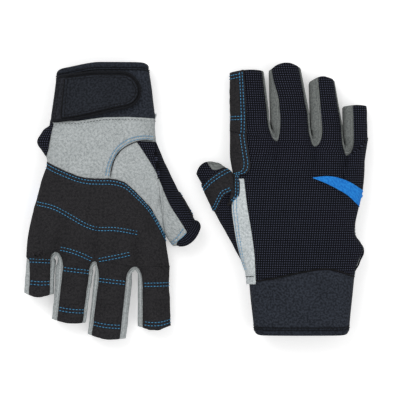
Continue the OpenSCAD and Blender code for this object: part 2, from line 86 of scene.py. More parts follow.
# %% Sizes
CUFF_HEM_HALF, CUFF_TOP_HALF, CUFF_HALF_HEIGHT, CUFF_LENGTH = 34.0, 37.6, 11.4, 38.0
HEM_WIDTH, HEM_SLOPE, HEM_NARROW = 5.2, [4.5, 0.0], [1.7, 0.0]
PALM_HALF_HEIGHT, PALM_LENGTH, BACK_DROP, WEB_RISE = 12.0, 147.0, 7.5, 4.6
FINGER_LENGTH = [24.0, 37.5, 39.5, 31.0]
FINGER_HALF_HEIGHT = [6.8, 7.8]
FOLD_DISTANCE = 6.0
THUMB_ROOT_HEIGHT, THUMB_TIP_HEIGHT = 8.6, 7.0
STRAP_WIDTH, STRAP_END_WIDTH, STRAP_OFFSET, STRAP_REACH = 37.0, 26.0, 6.4, 28.0
STRAP_WALL, PATCH_WALL, FASTENER_WALL = 1.8, 0.8, 0.7
LAYER_GAP, OVERLAY, TRIM = 0.1, 1.4, 1.1
CROTCH_ANGLE, SQUARENESS = 35.0, 2.6
STRAP_STACK = 2 * FASTENER_WALL + STRAP_WALL + PATCH_WALL + 4 * LAYER_GAP
PLACE = [(-66.7, 98.9), (76.2, -97.4)]
DOWN = [BACK, PALM]
TABLE_HEIGHT = [PALM_HALF_HEIGHT + OVERLAY,
                max(PALM_HALF_HEIGHT + OVERLAY, CUFF_HALF_HEIGHT + STRAP_STACK)]
print("heights of the middle over the table:", TABLE_HEIGHT)

# %% [markdown]
# ## Helpers for numbers
# Every shape is made of a few plain functions: a straight mix, a smooth step, a bell, a smooth
# curve through a table of points, and a ripple of waves that stands for slack in cloth. They
# all take whole arrays, so a surface of thousands of points is one call.


# %% Numbers
def mix(a, b, t):
    """a + (b - a) t."""
    return a + (b - a) * t


def smooth(x):
    """3c^2 - 2c^3 with c = x held between 0 and 1."""
    c = np.clip(x, 0, 1)
    return c * c * (3 - 2 * c)


def bell(x, width):
    """exp(-(x / width)^2)."""
    return np.exp(-((x / width) ** 2))


def curve(x, table):
    """Cubic through the table's points, with each slope the mean of its two chords."""
    t = np.array(table, float)
    xs, ys = t[:, 0], t[:, 1]
    chord = np.diff(ys) / np.diff(xs)
    slope = np.concatenate([chord[:1], (chord[1:] + chord[:-1]) / 2, chord[-1:]])
    x = np.clip(x, xs[0], xs[-1])
    i = np.clip(np.searchsorted(xs, x, side="right") - 1, 0, len(xs) - 2)
    h = xs[i + 1] - xs[i]
    p = (x - xs[i]) / h
    return ((2 * p**3 - 3 * p**2 + 1) * ys[i] + (p**3 - 2 * p**2 + p) * h * slope[i]
            + (3 * p**2 - 2 * p**3) * ys[i + 1] + (p**3 - p**2) * h * slope[i + 1])


def ripple(u, v, size, seed):
    """Sum of five sines in seeded directions, each with a wavelength near size, from -1 to 1."""
    rng = np.random.default_rng(seed)
    total = 0
    for _ in range(5):
        angle, phase = rng.uniform(0, 2 * np.pi, 2)
        wave = size * rng.uniform(0.7, 1.6)
        total = total + np.sin(2 * np.pi * (u * np.cos(angle) + v * np.sin(angle)) / wave + phase)
    return total / 5


print("ripple over 10 mm:", np.round(ripple(np.arange(0, 10, 2.5), 0.0, 5.0, 1), 2))

# %% [markdown]
# ## The glove's form
# A flattened tube from the wrist to the crotches, which splits into four finger tubes and a
# thumb. It could be sculpted, but a formula keeps every seam on its neighbour. d is the
# distance out of the cloth's outer face. The tables give each glove's outline as it lies, as
# (v, u) points joined by smooth curves.

# %% Outline of the hand
# The two side edges, the line where the thumb leaves, and the crotches between the fingers:
# their u in front, how far those of the back lie to the side, and how far back they all lie.
ULNAR_EDGE = [
    [(46, -39.4), (49, -42), (54, -45), (57.5, -46.2), (62, -45.6), (65.5, -43.4), (69, -40.6),
     (87, -44.5), (104, -49), (123, -53.6), (140, -55.2)],
    [(46, -38.6), (49, -39.7), (57, -43), (62, -45.2), (67, -42.6), (71, -39.4), (91, -41),
     (107, -44.4), (127, -45.9), (140, -47.8)],
]
THUMB_FOLD = [[(56, 37.2), (118, 44.6)], [(53, 43), (112, 49)]]
THUMB_EDGE = [
    [(42, 37.4), (46, 36.8), (56, 37.2), (87, 40.9), (118, 44.6), (126, 44.6), (147, 47.6)],
    [(42, 38.4), (44, 39.6), (53, 43), (82, 46), (112, 49), (116, 49), (128, 51), (147, 51.3)],
]
CROTCH_U = [[-33.7, -5.6, 23.1], [-31, -6.4, 22.6]]
CROTCH_SHIFT = [[0, 0, 0], [-1.6, -3.1, -4.8]]
CROTCH_BACK = [7, 10.6, 4, 0, 0]
SIDE_SHARE = 0.35
ULNAR_START, THUMB_START, CUFF_CORNER_U = 46, 42, -38.6


def edge_low(g, v):
    """u of the little-finger edge: the cuff's straight side, then the outline's curve."""
    cuff = -mix(CUFF_HEM_HALF - HEM_NARROW[g], CUFF_TOP_HALF, np.clip(v / CUFF_LENGTH, 0, 1))
    share = smooth((v - CUFF_LENGTH) / (ULNAR_START - CUFF_LENGTH))
    return np.where(v > ULNAR_START, curve(v, ULNAR_EDGE[g]), mix(cuff, CUFF_CORNER_U, share))


def edge_high(g, v):
    """u of the thumb-side edge: the cuff's straight side, then the outline's curve."""
    cuff = mix(CUFF_HEM_HALF - HEM_NARROW[g], CUFF_TOP_HALF, np.clip(v / CUFF_LENGTH, 0, 1))
    return np.where(v > THUMB_START, curve(v, THUMB_EDGE[g]), cuff)


print("flat width at the knuckles:",
      [round(float(edge_high(g, 110.0) - edge_low(g, 110.0)), 1) for g in (LEFT, RIGHT)])


# %% Thickness of the hand
def half_height(g, v):
    """Half thickness of glove g at v."""
    return curve(v, [
        (CUFF_LENGTH - 3, CUFF_HALF_HEIGHT), (CUFF_LENGTH + 22, PALM_HALF_HEIGHT),
        (PALM_LENGTH * 0.62, PALM_HALF_HEIGHT),
        (PALM_LENGTH - 5, mix(PALM_HALF_HEIGHT, FINGER_HALF_HEIGHT[g], 0.7)),
        (PALM_LENGTH + FOLD_DISTANCE, FINGER_HALF_HEIGHT[g])])


def padding(g, v):
    """What lies between the first layer and the table."""
    return mix(0 if g == LEFT else STRAP_STACK, OVERLAY, smooth((v - CUFF_LENGTH - 4) / 18))


def middle(g, v):
    """Height of the middle plane that keeps the lower side along the table."""
    return DOWN[g] * (TABLE_HEIGHT[g] - half_height(g, v) - padding(g, v))


def thumb_hole(g, v):
    """Half height of the opening to the thumb: an ellipse along the fold line."""
    a, b = THUMB_FOLD[g][0][0], THUMB_FOLD[g][1][0]
    x = 2 * (v - a) / (b - a) - 1
    return THUMB_ROOT_HEIGHT * np.sqrt(np.clip(1 - x * x, 0, 1))


def tube_height(g, x, v):
    """Height over the middle plane: |w/h|^n + |x|^n = 1, raised where the thumb leaves."""
    y = half_height(g, v) * np.clip(1 - np.abs(x) ** SQUARENESS, 0, 1) ** (1 / SQUARENESS)
    hole = thumb_hole(g, v) * np.clip(x, 0, 1) ** 2
    return np.sqrt(y * y + hole * hole)


def tube_out(g, x, v):
    """Direction out of the tube at x, as u and height."""
    open_side = 1 - 0.8 * thumb_hole(g, v) / THUMB_ROOT_HEIGHT
    lean = x * np.abs(x) * np.where(x > 0, open_side, 1)
    return lean, np.sqrt(np.clip(1 - lean * lean, 0, 1))


print("half thickness at mid palm:", round(float(half_height(LEFT, 90.0)), 1))


# %% Strips of the hand
def cuff_top(side, x):
    """Where the hand panels start, at x across."""
    rise = [3.5, 4.6, 2.0, 1.6, 2.6] if side == PALM else [3.5, 9.3, 6.9, 3, 0]
    return CUFF_LENGTH + curve(x, list(zip((-1, -0.5, 0, 0.5, 1), rise)))


def border(g, side, n, s):
    """Border n between finger strips, s from the cuff to the crotch, as u and v."""
    x = n / 2 - 1
    start = np.array([x * CUFF_TOP_HALF, cuff_top(side, x)])
    v = PALM_LENGTH - CROTCH_BACK[n] - (BACK_DROP if side == BACK and 0 < n < 4 else 0)
    if n in (0, 4):
        v = mix(start[1], v, s)
        return (edge_low if n == 0 else edge_high)(g, v), v
    end = (CROTCH_U[g][n - 1] + (CROTCH_SHIFT[g][n - 1] if side == BACK else 0), v)
    return mix(start[0], end[0], s), mix(start[1], end[1], s)


def lobe(k):
    """Angles that strip k's lobe spans at its crotch, in degrees."""
    return (180 if k == 0 else 180 - CROTCH_ANGLE), (0 if k == 3 else CROTCH_ANGLE)


def hand_point(g, side, k, s, q, d=0.0):
    """Strip k of a hand panel at s along and q across."""
    a0, a1 = np.radians(lobe(k))
    angle = mix(a0, a1, q)
    across = (np.cos(a0) - np.cos(angle)) / (np.cos(a0) - np.cos(a1))
    ua, va = border(g, side, k, s)
    ub, vb = border(g, side, k + 1, s)
    u, v = mix(ua, ub, across), mix(va, vb, across)
    low, high = edge_low(g, v), edge_high(g, v)
    x = np.clip((2 * u - low - high) / (high - low), -1, 1)
    lobed = smooth((s - 0.6) / 0.4)
    height = mix(tube_height(g, x, v), half_height(g, v) * np.sin(angle), lobed)
    out_u, out_w = tube_out(g, x, v)
    return np.stack([u + d * SIDE_SHARE * out_u, v + 0 * u,
                     middle(g, v) + side * (height + d * out_w)], -1)


def strip_at(c):
    """The strip that holds c, from 0 to 3, and how far across it c lies."""
    k = np.minimum(np.floor(c), 3).astype(int)
    return k, c - k


def panel_point(g, side, c, s, d=0.0):
    """A hand panel at c from 0 to 4 across all four strips."""
    c, s, d = np.broadcast_arrays(np.asarray(c, float), s, d)
    k, q = strip_at(c)
    return sum(hand_point(g, side, n, s, q, d) * (k == n)[..., None] for n in range(4))


def reach(g, side, c, v):
    """The s at which a hand panel reaches v, at c across."""
    k, q = strip_at(np.asarray(c, float))
    a0, a1 = (np.radians([lobe(n)[i] for n in range(4)])[k] for i in (0, 1))
    across = (np.cos(a0) - np.cos(mix(a0, a1, q))) / (np.cos(a0) - np.cos(a1))
    ends = [np.array([border(g, side, n, e)[1] for n in range(5)]) for e in (0.0, 1.0)]
    a, b = (mix(e[k], e[np.minimum(k + 1, 4)], across) for e in ends)
    return np.clip((v - a) / (b - a), 0, 1)


def panel_at(g, side, c, v, d=0.0):
    """A hand panel at c across and v along, both in whole arrays."""
    return panel_point(g, side, c, reach(g, side, c, v), d)


print("middle of the left palm:", np.round(panel_at(LEFT, PALM, 2.0, 90.0), 1))

# %% [markdown]
# ## The fingers' and the thumb's form
# A real finger stall is a flat tube sewn from a front, a back and two side strips. Here it is
# an ellipse swept along the finger, and each piece takes its own share of the angle round it,
# so that neighbours always meet on the same seam. The thumb lies between two outlines instead
# of on a straight axis, because it bends as it lies on the table.

# %% Form of the fingers
# Each row is a glove, each value a finger from the little one on: how far the middle of the
# open end reaches past its sides, how much longer the cloth is than its driving size, where
# root and tip lie across, and their half widths. The four seams are in degrees round the
# finger from its thumb side: back and front of one side strip, front and back of the other.
FINGER_DOME = [[2.4, 1.4, 1.8, 2.6], [0.8, 2.6, 4.4, 1.2]]
WRAP_SHARE = 0.47
FINGER_STRETCH = [[1.2, 0.8, 2.1, 0.8], [-1.2, -1.7, -2.5, 0]]
ROOT_U = [[-45.9, -20.5, 7.2, 36.4], [-39.6, -18.2, 8.2, 37.4]]
TIP_U = [[-47, -25, 2.6, 37], [-38.9, -14.3, 12.7, 39.5]]
ROOT_HALF = [[9.6, 11.9, 12.7, 10.7], [8.6, 11, 13.8, 13.7]]
TIP_HALF = [[10.3, 11.5, 13.1, 11.3], [8.7, 8.8, 11.3, 12]]
SEAM_ANGLES = [
    [[-45, 33, 130, 212], [-50, 26, 136, 212], [-34, 42, 146, 222], [-80, -80, 140, 220]],
    [[-76, 24, 118, 182], [-72, 26, 124, 184], [-58, 28, 130, 196], [-80, -80, 132, 196]],
]
SIDE_BULGE, WEB_BULGE = [0.9, 0.1], [[1.2, 0.5, 0], [0.4, 0.4, 0.1]]
FOLD_BACK = [0, 0, 4, 6.4]
LITTLE_SEAM_START, MIDDLE_SEAM_DRIFT = 172, 26


def fold_v(k):
    """v of the line that finger k bends about."""
    return PALM_LENGTH + FOLD_DISTANCE - CROTCH_BACK[k + 1] + FOLD_BACK[k]


def finger_axis(g, k):
    """Root and unit direction of finger k in the u, v plane."""
    root = np.array([ROOT_U[g][k], fold_v(k)])
    du = TIP_U[g][k] - ROOT_U[g][k]
    along = np.array([du, np.sqrt(FINGER_LENGTH[k] ** 2 - du * du)]) / FINGER_LENGTH[k]
    return root, along


def finger_point(g, k, f, angle, d=0.0, lean=1.0):
    """Finger k: f from the fold line to the tip, angle round it in degrees. lean is the share of
    d that counts sideways."""
    root, along = finger_axis(g, k)
    angle = np.radians(angle)
    a, b = mix(ROOT_HALF[g][k], TIP_HALF[g][k], np.clip(f, 0, 1)), FINGER_HALF_HEIGHT[g]
    nu, nw = np.cos(angle) / a, np.sin(angle) / b
    size = np.hypot(nu, nw)
    across = a * np.cos(angle) + lean * d * nu / size
    dome = FINGER_DOME[g][k] * np.clip(f, 0, 1) ** 2 * (np.sin(angle) ** 2 - 0.5)
    reached = f * (FINGER_LENGTH[k] + FINGER_STRETCH[g][k]) + dome
    u = root[0] + along[0] * reached + along[1] * across
    v = root[1] + along[1] * reached - along[0] * across
    w = DOWN[g] * (TABLE_HEIGHT[g] - b - OVERLAY) + b * np.sin(angle) + d * nw / size
    return np.stack([u, v, w], -1)


def between(a, b, r):
    """From a to b on a quarter turn: across by the sine, along by the versed sine."""
    turn = np.sqrt(np.clip(1 - (1 - r) ** 2, 0, 1))
    return np.stack([mix(a[..., 0], b[..., 0], turn), mix(a[..., 1], b[..., 1], r),
                     mix(a[..., 2], b[..., 2], r)], -1)


# %% Seams of the fingers
def seams(g, k, rows):
    """The four seam angles of finger k, which drift along it: the little finger's outer front
    seam starts at the glove's edge, and the right middle finger's back seam moves inwards."""
    a = [x + 0 * rows for x in SEAM_ANGLES[g][k]]
    if k == 0:
        a[2] = a[2] + (LITTLE_SEAM_START - a[2]) * (1 - smooth(rows / 1.6))
    if k == 2 and g == RIGHT:
        a[0] = a[0] + MIDDLE_SEAM_DRIFT * smooth((rows - 1.3) / 0.7)
    return a


def panel_angles(g, side, k, rows):
    """The angles round finger k at which its front or its back starts and ends."""
    a = seams(g, k, rows)
    return (a[2], a[1]) if side == PALM else (a[3], a[0] + 360)


def crotch_row(g, side, k, q, d):
    """Where finger k's front or back starts. The index front reaches round to the back."""
    if k < 3:
        return hand_point(g, side, k, 1.0, q, d)
    if side == BACK:
        return hand_point(g, BACK, 3, 1.0, q * (1 - WRAP_SHARE), d)
    edge = SEAM_ANGLES[g][3][2] / (SEAM_ANGLES[g][3][2] - SEAM_ANGLES[g][3][1])
    palm = hand_point(g, PALM, 3, 1.0, np.clip(q / edge, 0, 1), d)
    back = hand_point(g, BACK, 3, 1.0, 1 - WRAP_SHARE * np.clip((q - edge) / (1 - edge), 0, 1), d)
    return np.where((q < edge)[..., None], palm, back)


def finger_panel(g, side, k, rows, q, d=0.0):
    """Front or back of finger k: rows 0 to 1 from the crotch to the fold, then on to the tip."""
    rows, q, d = np.broadcast_arrays(rows, q, d)
    a0, a1 = panel_angles(g, side, k, rows)
    angle = mix(a0, a1, q)
    near = between(crotch_row(g, side, k, q, d), finger_point(g, k, 0.0, angle, d, SIDE_SHARE),
                   np.clip(rows, 0, 1))
    far = finger_point(g, k, np.clip(rows - 1, 0, None), angle, d, SIDE_SHARE)
    return np.where((rows > 1)[..., None], far, near)


print("finger lengths:", [FINGER_LENGTH[k] + FINGER_STRETCH[LEFT][k] for k in range(4)])


# %% Side strips
# The seam allowance: how far past its edge a strip runs on, in q and in degrees.
SEAM_LAP_Q, SEAM_LAP_ANGLE = 0.05, 10.0


def gusset(g, k, thumb_side, rows, q, d=0.0):
    """Side strip of finger k from the middle of its crotch web to the tip; q from -1 to 1, and
    on to 1 + SEAM_LAP_Q for the seam allowance, which runs on under the front."""
    lap = np.clip(q - 1, 0, None) / SEAM_LAP_Q
    q = np.minimum(q, 1)
    n = k + (1 if thumb_side else 0)
    a = seams(g, k, rows)
    if 0 < n < 4:
        bulge = (SIDE_BULGE[g] + WEB_BULGE[g][n - 1] * bell(rows - 1, 0.3)) * smooth(rows)
        d = d + bulge * (1 - q * q)
    angle = mix(a[0], a[1], (q + 1) / 2) if thumb_side else mix(a[3], a[2], (q + 1) / 2)
    angle = angle + SEAM_LAP_ANGLE * lap * (1 if thumb_side else -1)
    strip, edge = (k, 1.0) if thumb_side else (k, 0.0)
    low, high = (hand_point(g, side, strip, 1.0, edge, 0.0) for side in (BACK, PALM))
    apex = mix(low, high, ((q + 1) / 2 + 0.01 * lap)[..., None])
    rise = WEB_RISE if 0 < n < 4 else 0
    apex = apex + np.stack([0 * q, rise * np.sqrt(np.clip(1 - q * q, 0, 1)) + d, 0 * q], -1)
    near = between(apex, finger_point(g, k, 0.0, angle, d), np.clip(rows, 0, 1))
    far = finger_point(g, k, np.clip(rows - 1, 0, None), angle, d)
    return np.where((rows > 1)[..., None], far, near)


# %% Form of the thumb and the cuff
# The seam's angle, how far the middle of the open end reaches past its sides, the two outlines
# from the fold to the open end, and the v at which the thumb's root takes its height.
THUMB_SEAM = [96, 168]
THUMB_DOME = [4.5, 4.0]
THUMB_OUTER = [[(38, 57), (48.4, 80.4), (56.6, 95.4), (70.6, 119.6)],
               [(43.6, 54), (52, 69), (64.7, 91.7), (76.8, 117.6)]]
THUMB_INNER = [[(43.6, 117.4), (45.2, 124.8), (51.6, 134.2)],
               [(49.2, 110), (49.8, 116.8), (56.4, 121.8), (63, 126.4)]]
THUMB_MIDDLE = 85.0


def polyline(points, t):
    """Point at t from 0 to 1 along evenly numbered points, on a smooth curve."""
    p = np.array(points, float)
    x = np.linspace(0, 1, len(p))
    return np.stack([curve(t, np.stack([x, p[:, i]], 1)) for i in (0, 1)], -1)


def thumb_point(g, f, angle, d=0.0):
    """Thumb: f from the fold line to the open end, angle from its inner edge in degrees."""
    f, angle, d = np.broadcast_arrays(f, angle, d)
    angle = np.radians(angle)
    outer, inner = polyline(THUMB_OUTER[g], f), polyline(THUMB_INNER[g], f)
    half = np.linalg.norm(inner - outer, axis=-1) / 2
    across = (inner - outer) / (2 * half[..., None])
    b = mix(THUMB_ROOT_HEIGHT, THUMB_TIP_HEIGHT, f)
    nu, nw = np.cos(angle) / half, np.sin(angle) / b
    size = np.hypot(nu, nw)
    ahead = np.stack([across[..., 1], -across[..., 0]], -1)
    dome = THUMB_DOME[g] * np.clip(f, 0, 1) ** 3 * (np.sin(angle) ** 2 - 0.5)
    plan = (outer + inner) / 2 + across * (half * np.cos(angle) + d * nu / size)[..., None]
    plan = plan + ahead * dome[..., None]
    lift = DOWN[g] * (TABLE_HEIGHT[g] - b - OVERLAY)
    rest = DOWN[g] * (TABLE_HEIGHT[g] - half_height(g, THUMB_MIDDLE) - padding(g, THUMB_MIDDLE))
    w = mix(rest, lift, smooth(f)) + b * np.sin(angle) + d * nw / size
    return np.concatenate([plan, w[..., None]], -1)


def cuff_point(g, side, x, v, d=0.0):
    """Cuff: x from -1 to 1 across one side, on the hand's own tube."""
    low, high = edge_low(g, v), edge_high(g, v)
    out_u, out_w = tube_out(g, x, v)
    return np.stack([mix(low, high, (x + 1) / 2) + d * out_u, v + 0 * x,
                     middle(g, v) + side * (tube_height(g, x, v) + d * out_w)], -1)


tip = [thumb_point(LEFT, 1.0, angle)[:2] for angle in (0.0, 180.0)]
print("width of the thumb's open end:", round(float(np.linalg.norm(tip[0] - tip[1])), 1))

# %% [markdown]
# ## From grids to pieces
# A real panel is cut flat and sewn. Here it is a grid of points with a wall from Solidify. Its
# UV map holds millimetres of cloth, which Object coordinates could not give, so that weaves
# and grain keep their scale and follow a finger when it bends.

# %% Places and normals
def world(g, p):
    """Hand frame in millimetres to the row frame in metres. Nothing goes below the table."""
    x, y = PLACE[g]
    if g == LEFT:
        q = np.stack([x + p[..., 0], y - p[..., 1], TABLE_HEIGHT[g] + p[..., 2]], -1)
    else:
        q = np.stack([x - p[..., 0], y + p[..., 1], TABLE_HEIGHT[g] - p[..., 2]], -1)
    q[..., 2] = np.maximum(q[..., 2], 0)
    return q * MM


def normals(p, closed=False):
    """Unit cross product of the grid's two central differences."""
    if closed:
        dv = (np.roll(p, -1, 1) - np.roll(p, 1, 1)) / 2
    else:
        dv = np.gradient(p, axis=1)
    n = np.cross(np.gradient(p, axis=0), dv)
    return n / np.maximum(np.linalg.norm(n, axis=-1, keepdims=True), 1e-9)


def arc(p):
    """Length along each row from its middle column."""
    step = np.linalg.norm(np.diff(p, axis=1), axis=-1)
    total = np.concatenate([np.zeros((len(p), 1)), np.cumsum(step, 1)], 1)
    return total - total[:, total.shape[1] // 2:total.shape[1] // 2 + 1]


def edge_distance(p):
    """Distance along the row to the nearer side edge."""
    a = arc(p)
    return np.minimum(a - a[:, :1], a[:, -1:] - a)


# %% Grids to meshes
def grid_piece(name, g, point, rows, cols, material, wall=1.0, shift=None, closed=False, dip=0.6,
               fade=None):
    """A cloth panel: point(rows, cols, d) sampled on a grid, dipped at its side seams, moved out
    by shift(p) and given its wall by Solidify. wall is in millimetres, inwards."""
    r, c = np.meshgrid(rows, cols, indexing="ij")
    p, outer = point(r, c, 0.0), point(r, c, 0.5)
    n = normals(p, closed)
    n = n * np.sign(np.sum(n * (outer - p), axis=(-1, -2, -3)))
    move = np.zeros(p.shape[:2])
    if dip and not closed:
        move = move - dip * bell(edge_distance(p), 1.3) * (smooth(r / fade) if fade else 1)
    if shift is not None:
        move = move + shift(p)
    run = np.abs(p[-1] - p[0]).mean(0)
    uv = np.stack([arc(p), p[..., 0 if run[0] > run[1] and not closed else 1]], -1)
    return mesh_piece(name, g, p + n * move[..., None], outer - p, uv, material, wall, closed)


def add_piece(name, mesh, material):
    """A scene object for the mesh, with its material in the mesh's one slot."""
    mesh.polygons.foreach_set("use_smooth", np.ones(len(mesh.polygons), bool))
    mesh.materials.append(material)
    piece = bpy.data.objects.new(name, mesh)
    bpy.context.scene.collection.objects.link(piece)
    return piece


def cloth_mesh(name, points, faces, uv):
    """Mesh of the points and faces, with a UV map that holds millimetres of cloth."""
    mesh = bpy.data.meshes.new(name)
    mesh.from_pydata(points.reshape(-1, 3).tolist(), [], faces.tolist())
    layer = mesh.uv_layers.new(name="cloth")
    corners = np.zeros(len(mesh.loops), np.int32)
    mesh.loops.foreach_get("vertex_index", corners)
    layer.data.foreach_set("uv", uv.reshape(-1, 2)[corners].astype(np.float32).ravel())
    return mesh


def mesh_piece(name, g, p, out, uv, material, wall, closed=False):
    """Mesh of the grid p, faces turned to look along out."""
    m, n = p.shape[:2]
    co = world(g, p)
    i, j = np.meshgrid(np.arange(m - 1), np.arange(n if closed else n - 1), indexing="ij")
    a, b = i * n + j, i * n + (j + 1) % n
    faces = np.stack([a, b, b + n, a + n], -1).reshape(-1, 4)
    flat = co.reshape(-1, 3)
    area = np.cross(flat[faces[:, 2]] - flat[faces[:, 0]], flat[faces[:, 3]] - flat[faces[:, 1]])
    look = (world(g, p + out) - co).reshape(-1, 3)[faces[:, 0]]
    if np.sum(area * look) < 0:
        faces = faces[:, ::-1]
    piece = add_piece(name, cloth_mesh(name, flat, faces, uv), material)
    if wall:
        solid = piece.modifiers.new("wall", "SOLIDIFY")
        solid.thickness, solid.offset, solid.use_rim = wall * MM, -1, True
    return piece


def dense(n, power=1.0):
    """n + 1 values from 0 to 1, closer together at both ends as power grows."""
    t = np.linspace(0, 1, n + 1)
    return mix(t, (1 - np.cos(np.pi * t)) / 2, power)


# %% [markdown]
# ## Materials
# Each kind of cloth is one node group with its colours and sizes as inputs, which is shorter
# than a full set of nodes for every material. It works in millimetres of cloth from the UV map
# and feeds colour and bump. What is the same all over a cloth stays on the shader's own sockets.


# %% Colours and nodes
def linear(r, g, b):
    """sRGB bytes to linear colour."""
    c = np.array([r, g, b]) / 255
    return tuple(np.where(c <= 0.04045, c / 12.92, ((c + 0.055) / 1.055) ** 2.4)) + (1.0,)


class Nodes:
    """Short calls that add nodes to a tree. A value is a number, a colour or another socket."""

    def __init__(self, tree):
        self.tree = tree

    def node(self, kind, **settings):
        """A new node of this kind with these settings."""
        n = self.tree.nodes.new(kind)
        for key, value in settings.items():
            setattr(n, key, value)
        return n

    def feed(self, socket, value):
        """Link a socket to the value, or set it."""
        if isinstance(value, bpy.types.NodeSocket):
            self.tree.links.new(value, socket)
        else:
            socket.default_value = value

    def math(self, operation, a, b=0.0, c=0.0):
        """One step of arithmetic."""
        n = self.node("ShaderNodeMath", operation=operation)
        for socket, value in zip(n.inputs, (a, b, c)):
            self.feed(socket, value)
        return n.outputs[0]

    def scaled(self, place, size):
        """The place on the cloth in units of size millimetres."""
        n = self.node("ShaderNodeVectorMath", operation="SCALE")
        self.feed(n.inputs[0], place)
        self.feed(n.inputs["Scale"], self.math("DIVIDE", 1.0, size))
        return n.outputs[0]

    def noise(self, place, size, detail=3.0):
        """Noise from 0 to 1 with features of about size millimetres."""
        n = self.node("ShaderNodeTexNoise")
        self.feed(n.inputs["Vector"], self.scaled(place, size))
        n.inputs["Scale"].default_value = 1
        n.inputs["Detail"].default_value = detail
        return n.outputs["Fac"]

    def wave(self, value, period):
        """0.5 + 0.5 sin(2 pi value / period)."""
        turn = self.math("MULTIPLY", self.math("DIVIDE", value, period), 2 * np.pi)
        return self.math("MULTIPLY_ADD", self.math("SINE", turn), 0.5, 0.5)

    def weave(self, place, along, across):
        """Product of a wave along and a wave across the cloth."""
        n = self.node("ShaderNodeSeparateXYZ")
        self.feed(n.inputs[0], place)
        waves = self.wave(n.outputs[0], along), self.wave(n.outputs[1], across)
        return self.math("MULTIPLY", *waves)

    def ramp(self, value, low, high):
        """0 below low, 1 above high."""
        n = self.node("ShaderNodeMapRange")
        for socket, v in zip(n.inputs, (value, low, high, 0.0, 1.0)):
            self.feed(socket, v)
        return n.outputs[0]

    def blend(self, share, a, b):
        """Colour a where share is 0, colour b where it is 1."""
        n = self.node("ShaderNodeMix", data_type="RGBA")
        for name, v in (("Factor_Float", share), ("A_Color", a), ("B_Color", b)):
            socket = next(s for s in n.inputs if s.identifier == name)
            self.feed(socket, v)
        return next(s for s in n.outputs if s.identifier == "Result_Color")


# %% Node groups and materials
def group(name, colours, sizes, build):
    """A node group: the cloth's place, colours and sizes go in, Color and Height come out."""
    tree = bpy.data.node_groups.new(name, "ShaderNodeTree")
    kinds = ([("Place", "Vector")] + [(label, "Color") for label in colours]
             + [(label, "Float") for label in sizes])
    for label, kind in kinds:
        tree.interface.new_socket(name=label, in_out="INPUT", socket_type=f"NodeSocket{kind}")
    for label, kind in (("Color", "Color"), ("Height", "Float")):
        tree.interface.new_socket(name=label, in_out="OUTPUT", socket_type=f"NodeSocket{kind}")
    n = Nodes(tree)
    given, result = n.node("NodeGroupInput"), n.node("NodeGroupOutput")
    colour, height = build(n, *[given.outputs[label] for label, _ in kinds])
    n.feed(result.inputs["Color"], colour)
    n.feed(result.inputs["Height"], height)
    return tree


def cloth(name, pattern, look, bump, **values):
    """A Principled material that feeds its colour and its bump, in millimetres, from a group.
    look gives its roughness, sheen and specular level."""
    material = bpy.data.materials.new(name)
    material.use_nodes = True
    n = Nodes(material.node_tree)
    shader = n.tree.nodes["Principled BSDF"]
    for label, value in zip(("Roughness", "Sheen Weight", "Specular IOR Level"), look):
        shader.inputs[label].default_value = value
    placed = n.node("ShaderNodeGroup", node_tree=pattern)
    n.feed(placed.inputs["Place"], n.node("ShaderNodeUVMap", uv_map="cloth").outputs["UV"])
    for label, value in values.items():
        placed.inputs[label.replace("_", " ")].default_value = value
    n.feed(shader.inputs["Base Color"], placed.outputs["Color"])
    raised = n.node("ShaderNodeBump")
    raised.inputs["Strength"].default_value = 1
    raised.inputs["Distance"].default_value = bump * MM
    n.feed(raised.inputs["Height"], placed.outputs["Height"])
    n.feed(shader.inputs["Normal"], raised.outputs["Normal"])
    return material


# %% Patterns of cloth
def knit_pattern(n, place, hole_dark, hole, loop, pitch):
    """Open knit: rows of small raised loops over darker holes."""
    loops = n.weave(place, pitch, pitch)
    lit = n.ramp(n.math("ADD", loops, n.math("MULTIPLY", n.noise(place, 0.5), 0.4)), 0.48, 1.12)
    return n.blend(lit, n.blend(n.noise(place, 14.0), hole_dark, hole), loop), loops


def suede_pattern(n, place, dark, pale, specks, cloud):
    """Synthetic suede: short nap, mottled where it has been stroked."""
    nap = n.noise(place, 0.7)
    tone = n.math("ADD", n.math("MULTIPLY", n.ramp(n.noise(place, cloud), 0.3, 0.7), 0.3),
                  n.math("MULTIPLY", n.ramp(n.noise(place, 1.7, 2.0), 0.38, 0.62), 0.7))
    share = n.math("MULTIPLY", n.ramp(nap, 0.48, 0.66), 0.6)
    height = n.math("ADD", nap, n.math("MULTIPLY", n.noise(place, 2.6), 0.6))
    return n.blend(share, n.blend(tone, dark, pale), specks), height


def jersey_pattern(n, place, dark, pale, rib):
    """Neoprene faced with fine jersey: faint ribs, flecks and slow changes of shade."""
    weave = n.weave(place, rib, n.math("MULTIPLY", rib, 0.8))
    fleck = n.ramp(n.noise(place, 1.5, 2.0), 0.4, 0.6)
    slow = n.math("ADD", n.math("MULTIPLY", n.noise(place, 20.0), 0.35),
                  n.math("MULTIPLY", weave, 0.2))
    height = n.math("ADD", n.math("MULTIPLY", weave, 0.4), n.noise(place, 3.0))
    return n.blend(n.math("MULTIPLY_ADD", fleck, 0.55, slow), dark, pale), height


def thread_pattern(n, place, dark, pale):
    """Twisted thread: slanting bands."""
    axes = n.node("ShaderNodeSeparateXYZ")
    n.feed(axes.inputs[0], place)
    twist = n.wave(n.math("ADD", axes.outputs[0], axes.outputs[1]), 0.5)
    return n.blend(n.math("MULTIPLY", twist, 0.5), pale, dark), twist


